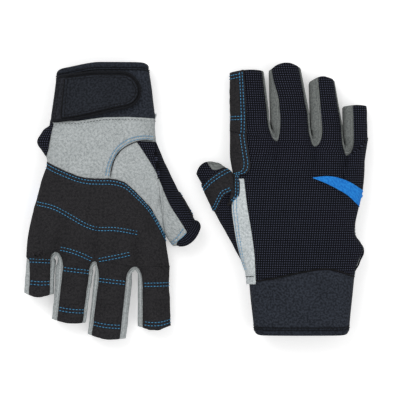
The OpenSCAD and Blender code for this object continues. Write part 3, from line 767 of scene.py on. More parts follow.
def pile_pattern(n, place, dark, pale, size):
    """Hook or loop pile: small round tufts."""
    tufts = n.node("ShaderNodeTexVoronoi")
    n.feed(tufts.inputs["Vector"], n.scaled(place, size))
    tufts.inputs["Scale"].default_value = 1
    distance = tufts.outputs["Distance"]
    return n.blend(n.ramp(distance, 0.1, 0.6), pale, dark), n.math("SUBTRACT", 1.0, distance)


# %% The glove's cloths
KNIT = group("knit", ["Hole dark", "Hole", "Loop"], ["Pitch"], knit_pattern)
SUEDE = group("suede", ["Dark", "Pale", "Specks"], ["Cloud"], suede_pattern)
JERSEY = group("jersey", ["Dark", "Pale"], ["Rib"], jersey_pattern)
TWIST = group("twist", ["Dark", "Pale"], [], thread_pattern)
PILE = group("pile", ["Dark", "Pale"], ["Size"], pile_pattern)


def suede(name, dark, pale, specks, size=9.0):
    """Suede whose mottling is about size millimetres wide."""
    return cloth(name, SUEDE, (0.95, 0.02, 0.06), 0.25, Dark=dark, Pale=pale, Specks=specks,
                 Cloud=size)


def jersey(name, dark, pale, rib=0.9):
    """Jersey with ribs of this pitch in millimetres."""
    return cloth(name, JERSEY, (0.8, 0.01, 0.14), 0.16, Dark=dark, Pale=pale, Rib=rib)


def thread(name, colour, dark):
    """Thread, darker between its strands."""
    return cloth(name, TWIST, (0.7, 0.02, 0.15), 0.1, Dark=dark, Pale=colour)


def pile(name, colour, pale, size):
    """Hooks or loops of this size in millimetres."""
    return cloth(name, PILE, (0.9, 0.1, 0.3), 0.6, Dark=colour, Pale=pale, Size=size)


MESH = cloth("mesh", KNIT, (0.9, 0.01, 0.08), 0.5, Hole_dark=linear(8, 9, 12),
             Hole=linear(15, 16, 21), Loop=linear(74, 78, 97), Pitch=1.67)
BLACK = suede("black_suede", linear(29, 29, 31), linear(47, 46, 48), linear(60, 58, 59))
GREY = suede("grey_suede", linear(138, 144, 145), linear(182, 187, 188), linear(204, 208, 207),
             14.0)
PALE = suede("pale_suede", linear(160, 168, 170), linear(206, 212, 214), linear(226, 230, 231),
             14.0)
# Painted shade: the grey suede painted darker, for the right glove's finger strips, their rolls,
# the thumb's front and its bridge, whose faces turn away from the light.
SHADED_GREY = suede("painted_shade_grey_suede", linear(86, 90, 89), linear(124, 128, 126), linear(146, 149, 147), 14.0)
NEOPRENE = jersey("neoprene", linear(12, 15, 21), linear(53, 58, 68))
HEM = jersey("hem", linear(9, 11, 16), linear(45, 50, 60), 1.1)
STRAP = jersey("strap", linear(14, 15, 20), linear(46, 48, 55))
BINDING = jersey("binding", linear(9, 10, 13), linear(24, 26, 31))
PATCH = jersey("strap_patch", linear(11, 13, 18), linear(43, 47, 55), 1.4)
ACCENT = jersey("accent", linear(14, 98, 184), linear(44, 142, 224), 1.2)
HOOK = pile("hook_pile", linear(14, 14, 16), linear(34, 34, 38), 1.1)
LOOP = pile("loop_pile", linear(16, 16, 20), linear(38, 38, 44), 0.8)
BLUE_THREAD = thread("blue_thread", linear(96, 172, 214), linear(46, 120, 170))
PALE_THREAD = thread("pale_blue_thread", linear(120, 176, 212), linear(88, 148, 190))
BLACK_THREAD = thread("black_thread", linear(14, 14, 17), linear(8, 8, 10))
NAVY_THREAD = thread("navy_thread", linear(16, 56, 92), linear(10, 38, 66))
DULL_THREAD = thread("dull_blue_thread", linear(140, 164, 182), linear(120, 148, 170))
print("materials:", len(bpy.data.materials), "pattern groups:", len(bpy.data.node_groups))
# The grey of each glove's strips, rolls and thumb: the left glove's own grey, and on the right
# glove the darker copy that paints shade.
GREY_SHADED_ON_RIGHT = [GREY, SHADED_GREY]
LOCKS = {BLUE_THREAD: NAVY_THREAD, PALE_THREAD: DULL_THREAD, BLACK_THREAD: BLACK_THREAD}

# %% [markdown]
# ## Stitches
# A row of stitches is cut from a line on the cloth. Each stitch is a short arched capsule
# whose ends go down into the cloth. A picture of stitches would be less work, but it would
# stay flat from the side. All stitches of a row are one mesh.


# %% Stitches
def resample(p, n, pitch, length):
    """Starts, ends and normals of the stitches along the line p with normals n."""
    step = np.linalg.norm(np.diff(p, axis=0), axis=1)
    at = np.concatenate([[0], np.cumsum(step)])
    count = max(int(at[-1] / pitch), 1)
    begin = (np.arange(count) + 0.5) * at[-1] / count - length / 2
    pick = lambda a, t: np.stack([np.interp(t, at, a[:, i]) for i in range(3)], -1)
    return pick(p, begin), pick(p, begin + length), pick(n, begin + length / 2)


def stitches(name, g, lines, material, radius=0.27, length=1.5, pitch=2.25):
    """The stitches along lines, each a pair (points, normals), over a sunk locking thread."""
    lock = capsules(f"{name}_lock", g, lines, LOCKS[material], radius + 0.08, pitch + 0.3, pitch,
                    0, -0.16)
    return [capsules(name, g, lines, material, radius, length, pitch, 0.2, -0.06), lock]


def capsules(name, g, lines, material, radius, length, pitch, arch, sunk):
    """One mesh of arched capsules set along lines."""
    parts = [resample(p, n, pitch, length) for p, n in lines]
    a, b, n = (np.concatenate([part[i] for part in parts]) for i in range(3))
    n = n / np.linalg.norm(n, axis=1, keepdims=True)
    along = (b - a) / np.linalg.norm(b - a, axis=1, keepdims=True)
    side = np.cross(along, n)
    t, phi = np.linspace(0, 1, 6), np.arange(6) * np.pi / 3
    belly = np.sin(np.pi * np.clip(t, 0.06, 0.94)) ** 0.45 * radius
    rise = arch * np.sin(np.pi * t) + sunk
    p = (mix(a[:, None], b[:, None], t[None, :, None]) + n[:, None] * rise[None, :, None])
    ring = (side[:, None, None] * np.cos(phi)[None, None, :, None]
            + n[:, None, None] * np.sin(phi)[None, None, :, None])
    co = p[:, :, None] + ring * belly[None, :, None, None]
    count, m, k = co.shape[:3]
    i, j = np.meshgrid(np.arange(m - 1), np.arange(k), indexing="ij")
    low, high = i * k, (i + 1) * k
    quad = np.stack([low + j, high + j, high + (j + 1) % k, low + (j + 1) % k], -1)
    if g == LEFT:
        quad = quad[..., ::-1]
    faces = (np.arange(count)[:, None, None] * m * k + quad.reshape(1, -1, 4)).reshape(-1, 4)
    return add_piece(name, cloth_mesh(name, world(g, co), faces, co[..., :2]), material)


def cord(name, g, one, radius, material, sides=12, ends=(0.12, 0.12), flat=1.0):
    """A roll along the line: ellipses in the plane of its normal, flat times as high as wide,
    drawn in at both ends by sqrt(1 - (1 - t / ends)^2)."""
    p, n = one
    t = np.linspace(0, 1, len(p))
    near = np.clip(np.minimum(t / ends[0], (1 - t) / ends[1]), 0.02, 1)
    r = radius * np.sqrt(1 - (1 - near) ** 2)
    side = np.cross(np.gradient(p, axis=0), n)
    side = side / np.linalg.norm(side, axis=1, keepdims=True)
    phi = np.linspace(0, 2 * np.pi, sides + 1)[:-1]
    ring = (n[:, None] * flat * np.sin(phi)[None, :, None]
            + side[:, None] * np.cos(phi)[None, :, None])
    co = p[:, None] + ring * r[:, None, None]
    uv = np.stack([r[:, None] * phi, 0 * phi + np.arange(len(p))[:, None] * 0.8], -1)
    return mesh_piece(name, g, co, ring, uv, material, 0, True)


# %% Lines on the cloth
def line(point, *params, d=0.0):
    """Points of a line on the cloth and the normals there, from point(*params, d)."""
    params = np.broadcast_arrays(*[np.asarray(x, float) for x in params])
    p, q = point(*params, d), point(*params, d + 0.5)
    n = q - p
    return p, n / np.linalg.norm(n, axis=1, keepdims=True)


def beside(one, offset):
    """The same line moved sideways on the cloth by offset millimetres."""
    p, n = one
    side = np.cross(np.gradient(p, axis=0), n)
    return p + side / np.linalg.norm(side, axis=1, keepdims=True) * offset, n


def double(one, gap=2.3):
    """Two lines side by side, gap millimetres apart."""
    return [beside(one, -gap / 2), beside(one, gap / 2)]


def place_at(u, v, g=LEFT, side=PALM):
    """Places across a hand panel of the points (u, v)."""
    c = np.linspace(0, 4, 161)
    return np.array([np.interp(a, panel_at(g, side, c, b)[:, 0], c)
                     for a, b in zip(u, v)])


def outline(points, g, side, count=40):
    """The c and v of a smooth line through (u, v) points of one hand panel."""
    p = np.array(points, float)
    step = np.linalg.norm(np.diff(p, axis=0), axis=1)
    x = np.concatenate([[0], np.cumsum(step)]) / step.sum()
    t = np.linspace(0, 1, count)
    u, v = (curve(t, np.stack([x, a], 1)) for a in (p[:, 0], p[:, 1]))
    return place_at(u, v, g, side), v


def palm_line(g, points, d=OVERLAY, count=60):
    """Smooth line over the palm panel of glove g through (u, v) points of the left glove."""
    c, v = outline(points, LEFT, PALM, count)
    return line(lambda c, v, d: panel_at(g, PALM, c, v, d), c, v, d=d)


# %% [markdown]
# ## Stitched lines
# Double rows of blue thread cross the palm. They are given once, for the left glove, as (u, v)
# points, and the right glove takes the same places on its own outline.

# %% Palm lines
PALM_LINES = [
    [(-46.9, 101.5), (-35.3, 104.4), (-23.2, 110.7), (-13.5, 116.4), (-5.5, 119.5), (8.9, 120),
     (25, 122.8)],
    [(-30.8, 134), (-24, 135.4), (-16, 138.2), (-7.9, 142)],
    [(-3.3, 142.4), (4, 141), (12, 139.4), (19.4, 137.7)],
]
THENAR_SEAM = [(3.2, 82), (4.3, 76), (6.3, 70.2), (9.6, 64), (14.6, 59.1), (21.2, 55.6), (29, 54.2),
               (36, 54.4)]
THENAR_EDGE = [(5.6, 83), (6.5, 76.9), (8.2, 71.1), (11.4, 65.5), (16.3, 61.1), (22.6, 57.9),
               (28, 56.6), (36.5, 56.7)]
OVERLAY_EDGE = [(-40.4, 71.5), (-32.5, 75.6), (-23.4, 79.7), (-16.8, 82.2), (-10.2, 83.5),
                (-1.9, 83.9), (5.1, 83.9), (10.5, 84.7), (16.2, 86.8), (22.9, 92.6),
                (29.5, 99.2), (35.3, 106.6), (39, 113.1), (42, 119), (44.7, 125)]
OVERLAY_C, OVERLAY_V = outline(OVERLAY_EDGE, LEFT, PALM, 90)


def overlay_v(c):
    """v of the second suede layer's edge at c across."""
    return np.interp(c, OVERLAY_C, OVERLAY_V)


print("the second layer's edge at mid palm:", round(float(overlay_v(2.0)), 1))


# %% Cloth beside the stitches


def overlay_start(g, c):
    """The s at which the second suede layer starts."""
    return reach(g, PALM, c, overlay_v(c))


def overlay_rows(g):
    """The double row just inside the second layer's edge."""
    c = np.linspace(0.04, 3.98, 90)
    point = lambda c, shift, d: panel_at(g, PALM, c, overlay_v(c) + shift, d)
    return [line(point, c, s, d=OVERLAY) for s in (1.5, 3.9)]


def puckers(lines, depth=0.22, reach_mm=3.0):
    """Shift of the cloth near stitched lines: a pressed channel with small puckers beside it."""
    p = np.concatenate([one[0][::2] for one in lines])

    def shift(q):
        flat = q.reshape(-1, 3)
        near = np.full(len(flat), 1e9)
        for part in np.array_split(p, 12):
            gap = np.linalg.norm(flat[:, None, :2] - part[None, :, :2], axis=2).min(1)
            near = np.minimum(near, gap)
        near = near.reshape(q.shape[:2])
        crimp = ripple(q[..., 0], q[..., 1], 4.5, 3) * bell(near - 1.5, reach_mm)
        return 0.28 * crimp - depth * bell(near, 1.1)

    return shift


def slack(seed, height=0.5, size=26.0):
    """Slow rise and fall of cloth that lies loose."""
    return lambda q: height * ripple(q[..., 0], q[..., 1], size, seed)


def creases():
    """Folds of the loose palm: a deep one beside the thumb and shallow ones by the wrist."""
    def shift(q):
        u, v = q[..., 0], q[..., 1]
        thumb = bell(u - 30 - 0.16 * (v - 90), 3.2)
        thumb = thumb * smooth((v - 74) / 14) * smooth((126 - v) / 14)
        second = bell(u - 38 + 0.3 * (v - 112), 2.6)
        second = second * smooth((v - 92) / 10) * smooth((128 - v) / 10)
        wrist = bell(v - 58 + 0.12 * u, 3.6) * smooth((-u - 6) / 20)
        return -2.2 * thumb - 1.4 * second - 0.9 * wrist
    return shift


def together(*shifts):
    """The sum of several shifts."""
    return lambda q: sum(s(q) for s in shifts)


# %% [markdown]
# ## Building one glove
# Pieces on the hand ride with it. A finger's or thumb's pieces start at the crotch or at the
# fold; their transforms are baked where they are built, and nothing bends them.

# %% Attaching
def direction(g, du, dv):
    """A direction in the hand frame's plane, in the row frame."""
    return np.array([du, -dv, 0]) if g == LEFT else np.array([-du, dv, 0])


def bend_finger(piece, g, k):
    """Bake the piece's transform; the finger's fold and direction found here are not used."""
    _, along = finger_axis(g, k)
    fold = world(g, finger_point(g, k, 0.0, 90.0))
    way = direction(g, *along)
    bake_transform(piece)


def bend_thumb(piece, g):
    """Bake the piece's transform; the thumb's fold direction and middle found here are not used."""
    (v0, u0), (v1, u1) = THUMB_FOLD[g][0], THUMB_FOLD[g][1]
    out = np.array([v1 - v0, -(u1 - u0)]) / np.hypot(v1 - v0, u1 - u0)
    mid = world(g, np.array([(u0 + u1) / 2 + 1.0, (v0 + v1) / 2, 0.0]))
    mid + direction(g, *out) * 16 * MM
    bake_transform(piece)


def both(build):
    """Build a step for the left and the right glove."""
    for g in (LEFT, RIGHT):
        build(g)


# %% [markdown]
# ## Palm and back
# The palm is grey suede with a second, black layer sewn over its upper part, and the back is
# an open mesh. A cloth simulation could drape them, but a glove's panels keep the shape they
# are cut to. So each is a formula's surface, and folds, slack and pressed stitch channels are
# added to it as shifts along its normal.

# %% Hand panels
def build_hand(g):
    """The palm's two layers, the back and the stitches on them."""
    hand = GLOVES[g]
    body = f"{hand}_hand"
    rows_here = overlay_rows(g) + [one for p in PALM_LINES for one in double(palm_line(g, p))]
    thenar = double(palm_line(g, THENAR_SEAM, d=0.0), 2.0)
    edge = palm_line(g, THENAR_EDGE, d=0.0)
    loose = together(creases(), slack(11 + g))
    strips = np.linspace(0, 4, 145)

    palm = grid_piece(
        f"{hand}_palm_base", g,
        lambda r, c, d: panel_point(g, PALM, c, r * np.clip(overlay_start(g, c) + 0.06, 0, 1), d),
        dense(64, 0.3), strips, GREY, 1.0,
        together(loose, puckers(thenar, 0.35), puckers([edge], 0.8), heel_hem()), dip=0.1)
    top = grid_piece(
        f"{hand}_palm_overlay", g,
        lambda r, c, d: panel_point(g, PALM, c, mix(overlay_start(g, c), 1, r), d + OVERLAY),
        dense(80, 0.3), strips, BLACK, 1.5, together(loose, puckers(rows_here)))
    back = grid_piece(
        f"{hand}_back_mesh", g, lambda r, c, d: panel_point(g, BACK, c, r, d),
        dense(110, 0.3), strips, MESH, 1.2, together(slack(31 + g, 0.6, 34.0), knuckle_seam(g)))
    for piece, node in ((palm, "palm_panel"), (top, "palm_reinforcement"), (back, "back_panel")):
        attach(piece, body)
        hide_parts(f"{hand}_{node}")
    heel = [heel_line(g)]
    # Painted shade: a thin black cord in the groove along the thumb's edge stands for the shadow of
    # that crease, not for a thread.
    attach(cord(f"{hand}_thenar_crease_shade", g, lifted([edge], loose)[0], 0.3, BLACK_THREAD, 8), body)
    for piece in (stitches(f"{hand}_palm_stitches", g, lifted(rows_here, loose), BLUE_THREAD)
                  + stitches(f"{hand}_thenar_stitches", g, lifted(thenar, loose), PALE_THREAD)
                  + stitches(f"{hand}_heel_stitches", g, lifted(heel, loose), BLACK_THREAD, 0.2)):
        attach(piece, body)


# %% Seams of the hand
def lifted(lines, shift):
    """Lines moved with the cloth that they lie on."""
    return [(p + n * shift(p[:, None])[:, 0][:, None], n) for p, n in lines]


def heel_hem():
    """The turned hem of the palm at the cuff: a raised band 4 mm wide."""
    def shift(q):
        x = np.clip(q[..., 0] / CUFF_TOP_HALF, -1, 1)
        band = smooth((cuff_top(PALM, x) + 2.9 - q[..., 1]) / 0.9)
        return 0.9 * band * smooth((1 - np.abs(x)) / 0.08)
    return shift


def heel_line(g):
    """The stitched line of the palm's turned hem."""
    c = np.linspace(0.1, 3.9, 90)
    x = c / 2 - 1
    return line(lambda c, v, d: panel_at(g, PALM, c, v, d), c, cuff_top(PALM, x) + 1.7, d=0.85)


def knuckle_seam(g):
    """The seam across the back, from the accent panel to the stripe: a pressed line."""
    points = [(-7.3, 113.4), (10, 112.2), (28, 113), (41, 114)]
    c, v = outline(points, RIGHT, BACK, 60)
    seam = panel_at(g, BACK, c, v)

    def shift(q):
        gap = np.interp(q[..., 0], *seam[np.argsort(seam[:, 0])][:, :2].T) - q[..., 1]
        low, high = seam[:, 0].min(), seam[:, 0].max()
        inside = smooth((q[..., 0] - low + 2) / 4) * smooth((high - q[..., 0] + 2) / 4)
        return inside * (0.35 * bell(gap - 0.9, 0.9) - 0.55 * bell(gap, 0.5))
    return shift


both(build_hand)

# %% [markdown]
# ## Trim on the back
# The blue panel, the pale stripe and the black suede that wraps round from the palm are sewn
# on over the mesh. Each lies between two lines on the back, so it is one grid whose rows run
# from line to line and whose height follows the mesh below it.


# %% Trim
def cloth_patch(name, g, side, edge, material, low, wall, rows=60, cols=20, shift=None, dip=0.3):
    """Cloth laid on a hand panel: edge(r) gives c and v at the two ends of row r."""
    def point(r, t, d):
        (c0, v0), (c1, v1) = edge(r)
        c, v = mix(c0, c1, t), mix(v0, v1, t)
        return panel_at(g, side, c, v, d + low)
    piece = grid_piece(name, g, point, dense(rows, 0.3), dense(cols, 0.5), material, wall, shift,
                       dip=dip)
    return piece, point


def along_line(points, g, side):
    """A function of r from 0 to 1 that gives c and v on the smooth line through (u, v) points."""
    c, v = outline(points, g, side)
    t = np.linspace(0, 1, len(c))
    return lambda r: (np.interp(r, t, c), np.interp(r, t, v))


# %% Accent, stripe and wraps
# Where the stripe and the suede beside it end across the back, and the lines between which
# the trim lies.
STRIPE_C, RIM_C = 3.96, 3.98
ACCENT_LINES = [
    [(-42.2, 91.7), (-38.5, 95.2), (-32.7, 100.6), (-24.5, 105.6), (-16.2, 109.6), (-7.8, 112.9)],
    [(-45.6, 102.9), (-40, 106.6), (-34.4, 110), (-26.1, 113.3), (-17.8, 114.3), (-7.8, 113.3)],
]
STRIPE_OUTER = [(36, 37.6), (45, 40.2), (54.9, 43.8), (66, 46.8), (78, 48.8), (94.2, 50.4),
                (104, 49), (112.5, 48.6)]
STRIPE_INNER = [(33.3, 41), (33.8, 54.9), (36.9, 78), (39.5, 94.2), (41.5, 112.5)]
CROTCH_WRAP = [(47.6, 93.4), (47, 95.4), (46, 98), (44.7, 101.8), (44.3, 108), (44.5, 116)]
INDEX_WRAP = [(48.6, 115.2), (43, 115.3), (38.6, 116.8), (36.8, 121.4), (37.7, 130), (39, 138.7)]


def build_trim(g):
    """Accent panel, side stripe and the suede wrapped round to the back."""
    hand, body = GLOVES[g], f"{GLOVES[g]}_hand"
    loose = slack(31 + g, 0.6, 34.0)
    low, high = (along_line(points, RIGHT, BACK) for points in ACCENT_LINES)
    inside = lambda end, r: (np.maximum(end(r)[0], 0.05), end(r)[1])
    accent, _ = cloth_patch(f"{hand}_accent", g, BACK, lambda r: (inside(low, r), inside(high, r)),
                            ACCENT, TRIM, 0.9, shift=loose, dip=0.1)
    inner = along_line(STRIPE_INNER, RIGHT, BACK)

    def drawn_out(c, v, t, d, more=0.0):
        """The back at c and v, t from 0 to 1 outwards, drawn out sideways over the thumb's root."""
        p = panel_at(g, BACK, c, v, d)
        edge = panel_at(g, BACK, STRIPE_C, v)[..., 0]
        out = np.clip(curve(v, STRIPE_OUTER) + more - edge, -1, 6)
        p[..., 0] += out * smooth((t - 0.3) / 0.7) * (1 if g == RIGHT else 0.1)
        return p

    def place(r, t, d):
        """The stripe, which also comes down over the cuff."""
        c, v = inner(r)
        p = drawn_out(mix(c, STRIPE_C, t), v, t, d + TRIM)
        p[..., 1] -= 4.2 * (1 - smooth(r / 0.07))
        return p

    stripe = grid_piece(f"{hand}_stripe", g, place, dense(90, 0.5), dense(24, 0.5), PALE, 1.2,
                        together(loose, stripe_hem), dip=0.3)
    r = np.linspace(0.08, 0.82, 110)
    width = np.linalg.norm(place(r, 0 * r, 0) - place(r, 0 * r + 1, 0), axis=1)
    pale = [line(place, r, 1 - across / width) for across in (2.4, 4.4)]
    hem = [line(place, 0.04, np.linspace(0.06, 0.94, 20), d=0.4)]

    border = along_line(CROTCH_WRAP, RIGHT, BACK)

    def rim(r, t, d):
        """The suede between stripe and thumb, which runs out to a point."""
        c, v = border(r)
        t = 1 - (1 - t) * smooth(r / 0.32 + 0.04)
        return drawn_out(mix(c, RIM_C, t), v, t, d + TRIM + 0.4, 0.9)

    crotch = grid_piece(f"{hand}_crotch_wrap", g, rim, dense(60, 0.3), dense(20, 0.5), BLACK, 1.8,
                        loose, dip=0.3)
    edge = along_line(INDEX_WRAP, RIGHT, BACK)

    def wrap_edge(r):
        """The wrap's inner edge, which turns up to the crotch row, and its outer one."""
        c, v = edge(np.clip(r / 0.8, 0, 1))
        last = 4 - WRAP_SHARE
        up = smooth((r - 0.8) / 0.2)
        c, v = mix(c, last, up), mix(v, border_v(g, last), up)
        return (c, v), (4 + 0 * c, mix(INDEX_WRAP[0][1], border_v(g, 4.0), r))

    wrap, face = cloth_patch(f"{hand}_index_wrap", g, BACK, wrap_edge, BLACK, OVERLAY + 0.35, 1.8,
                             shift=loose)
    r = np.linspace(0.06, 1, 90)
    width = np.linalg.norm(face(r, 0 * r, 0) - face(r, 0 * r + 1, 0), axis=1)
    blue = [line(face, r, across / width) for across in (1.4, 3.6)]
    r = np.linspace(0.04, 0.97, 60)
    width = np.linalg.norm(rim(r, 0 * r, 0) - rim(r, 0 * r + 1, 0), axis=1)
    width = np.maximum(width, 1e-3)
    blue += [line(rim, r, np.clip(across / width, 0, 0.95)) for across in (1.0, 2.8)]
    threads = (stitches(f"{hand}_stripe_stitches", g, lifted(pale, loose), PALE_THREAD)
               + stitches(f"{hand}_stripe_hem_stitches", g, lifted(hem, loose), BLACK_THREAD, 0.2)
               + stitches(f"{hand}_wrap_stitches", g, lifted(blue, loose), BLUE_THREAD))
    for piece in [accent, stripe, crotch, wrap] + threads:
        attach(piece, body)
    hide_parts(f"{hand}_accent_panel")
    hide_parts(f"{hand}_side_stripe")


# %% Ends of the trim
def stripe_hem(q):
    """The turned end of the stripe: 2.6 mm, raised."""
    return 0.5 * smooth((q[..., 1] - q[0, :, 1] - 2.6) / -0.6)


def border_v(g, c):
    """v of the back panel's crotch row at c across."""
    return panel_point(g, BACK, c, 1.0)[..., 1]


both(build_trim)

# %% [markdown]
# ## Folded mesh
# Where the glove is pressed flat the mesh back comes round to the palm side, beside the wrist
# and at the thumb's root. The folds are separate thin patches, which is simpler than bending
# the back panel itself round a corner that sharp.

# %% Folds
PALM_FOLD = [(-35.2, 43.4), (-36.6, 50), (-38.2, 58), (-40.2, 66), (-41.4, 71.5)]
WRIST_FOLD_V, THUMB_ROOT_V = (41.4, 71.5), (57.4, 83.6)
THUMB_BORDER = [(24.3, 57.2), (28.8, 63.7), (33, 70), (36.9, 76.3), (40.6, 83.6)]


def build_folds(g):
    """Mesh that folds over to the palm side: beside the wrist and at the thumb's root."""
    hand, body = GLOVES[g], f"{GLOVES[g]}_hand"
    loose = together(creases(), slack(11 + g))
    inner = along_line(PALM_FOLD, LEFT, PALM)

    def wrist_edge(r):
        """From the glove's edge to the line beside the wrist."""
        c, v = inner(r)
        return (0 * r, mix(*WRIST_FOLD_V, r)), (np.maximum(c, 0.03), v)

    def swell(q):
        """The fold stands up a little and ends flat."""
        return ((1.2 * bell(q[..., 1] - 56, 8) + 0.5 * ripple(q[..., 0], q[..., 1], 9, 5))
                * smooth((69 - q[..., 1]) / 8))

    wrist, _ = cloth_patch(f"{hand}_wrist_fold", g, PALM, wrist_edge, MESH, 0.7, 1.4,
                           shift=together(loose, swell), dip=0.2)
    border = along_line(THUMB_BORDER, LEFT, PALM)

    def thumb_edge(r):
        """From the line beside the thumb to the glove's edge."""
        c, v = border(r)
        return (c, v), (4 + 0 * c, mix(*THUMB_ROOT_V, r))

    root, _ = cloth_patch(f"{hand}_thumb_root_mesh", g, PALM, thumb_edge, MESH, 0.8, 1.2,
                          shift=loose, dip=0.1)
    for piece in (wrist, root):
        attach(piece, body)


both(build_folds)

# %% [markdown]
# ## Fingers
# Each finger has a suede front with two double rows of thread, a mesh back and grey side
# strips whose edges are turned to a roll. All of them start at the crotch, and their shape runs
# on from the hand to the finger, as the cloth is one piece there.

# %% Fingers
# The double rows: at the root as a share of the finger, at the tip in millimetres from its
# end, and along the index finger's wrap as a share across it.
ROOT_ROW, WRAP_ROOT_ROW = 0.02, -0.2
TIP_ROW = [8.6, 8.6, 8.6, 3.6]
WRAP_ROWS = (0.972, 0.928)


def finger_rows(k, n=16):
    """Rows from the crotch (0) by the fold (1) to the tip (2), close together at the crotch."""
    near = 1 - np.cos(np.linspace(0, np.pi / 2, n))
    return np.concatenate([near, 1 + dense(int(FINGER_LENGTH[k] / 1.1), 0.3)[1:]])


def finger_lines(g, k, wrap):
    """Double rows across finger k's front at its root and tip, and along the edge of a wrap."""
    face = lambda r, q, d: finger_panel(g, PALM, k, r, q, d)
    q = np.linspace(0.05, 0.95, 40)
    ends = (WRAP_ROOT_ROW if wrap and g == RIGHT else ROOT_ROW, 1 - TIP_ROW[k] / FINGER_LENGTH[k])
    lines = [one for f in ends for one in double(line(face, 1 + f + 0 * q, q, d=OVERLAY))]
    if wrap:
        r = np.concatenate([np.linspace(0, 1, 20), np.linspace(1, 1.97, 40)[1:]])
        lines += [line(face, r, share, d=OVERLAY) for share in WRAP_ROWS]
    return lines


def build_finger(g, k):
    """Front, back, side strips, turned edges and stitches of finger k."""
    hand, finger = GLOVES[g], f"{GLOVES[g]}_{FINGERS[k]}"
    rows = finger_rows(k)
    wrap = k == 3
    front_lines = finger_lines(g, k, wrap)
    front = grid_piece(
        f"{finger}_suede", g, lambda r, q, d: finger_panel(g, PALM, k, r, q, d + OVERLAY),
        rows, dense(60 if wrap else 30, 0.6), BLACK, 1.8,
        tip_roll(g, k, puckers(front_lines, 0.3)), dip=0.6, fade=0.6)
    back = grid_piece(
        f"{finger}_mesh", g, lambda r, q, d: finger_panel(g, BACK, k, r, q, d),
        rows, dense(26, 0.6), MESH, 1.2, tip_roll(g, k), dip=0.6, fade=0.6)
    pieces, rolls = [front, back], []
    for thumb_side in [False] if wrap else [False, True]:
        # On the right glove the strips and their rolls take the darker grey that paints shade.
        strip = grid_piece(
            f"{finger}_strip_{'thumb' if thumb_side else 'outer'}", g,
            lambda r, q, d, t=thumb_side: gusset(g, k, t, r, q, d),
            rows, np.append(np.linspace(-1, 1, 21), 1 + SEAM_LAP_Q), GREY_SHADED_ON_RIGHT[g], 1.0,
            tip_roll(g, k), dip=0.5, fade=0.6)
        pieces.append(strip)
        if k + thumb_side not in (0, 4):
            rolls += [edge_roll(g, k, thumb_side, side) for side in (PALM, BACK)]
    for piece in pieces + rolls + stitches(f"{finger}_stitches", g, front_lines, BLUE_THREAD):
        bend_finger(piece, g, k)
    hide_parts(f"{finger}_front")
    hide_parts(f"{finger}_back")
    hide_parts(f"{finger}_sides")
    if k == 1:
        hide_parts(f"{hand}_crotch_gussets")


# %% Edges and tips of the fingers
def edge_roll(g, k, thumb_side, side):
    """The side strip's turned edge: a roll from the middle of the web to the tip."""
    r = np.concatenate([np.linspace(0, 1, 26), np.linspace(1, 1.985, 50)[1:]])
    radius = mix(1.35, 0.85, r / 2) if side == PALM else mix(0.9, 0.6, r / 2)
    inward = 1 - 0.26 if side == PALM else 1 - 0.18
    one = line(lambda r, q, d: gusset(g, k, thumb_side, r, q, d), r, side * inward, d=-0.1)
    where = "thumb" if thumb_side else "outer"
    face = "front" if side == PALM else "back"
    return cord(f"{GLOVES[g]}_{FINGERS[k]}_{where}_{face}_roll", g, one, radius, GREY_SHADED_ON_RIGHT[g],
                ends=(0.002, 0.03))


def tip_roll(g, k, more=None):
    """The cut end turns in a little, and the finger has faint cross creases."""
    root, along = finger_axis(g, k)

    def shift(q):
        f = ((q[..., 0] - root[0]) * along[0] + (q[..., 1] - root[1]) * along[1])
        end = -0.35 * bell(FINGER_LENGTH[k] + FINGER_STRETCH[g][k] - f, 0.9)
        crease = 0.22 * ripple(0.3 * q[..., 0], q[..., 1], 9.0, 50 + 7 * g + k) * smooth(f / 6)
        return end + crease + (more(q) if more else 0)
    return shift


def build_fingers(g):
    """All four fingers."""
    for k in range(4):
        build_finger(g, k)


both(build_fingers)

# %% [markdown]
# ## Thumb
# The thumb has a suede front, a mesh back and a band of black suede wrapped round it on the
# slant. The band's two edges are given as a share of the thumb's length for each angle round
# it. A short bridge of suede joins the thumb to the palm over the groove between them.

# %% Thumb
# The bridge leaves the palm at BRIDGE_C, ends on the thumb at BRIDGE_F and spans two angles.
BRIDGE_C, BRIDGE_F, BRIDGE_ANGLES, BRIDGE_ARCH = 3.82, 0.16, (98, 52), 0.9


def wrap_low(a):
    """f at which the thumb's suede wrap starts, at the angle a."""
    return curve(a, [(165, 0.65), (200, 0.63), (211, 0.61), (249, 0.56), (277, 0.48), (300, 0.29),
                     (322, 0.08), (340, 0.03), (360, 0.03)])


def wrap_high(a):
    """f at which it ends."""
    return curve(a, [(165, 0.9), (200, 0.88), (225, 0.86), (269, 0.81), (314, 0.7), (360, 0.49)])


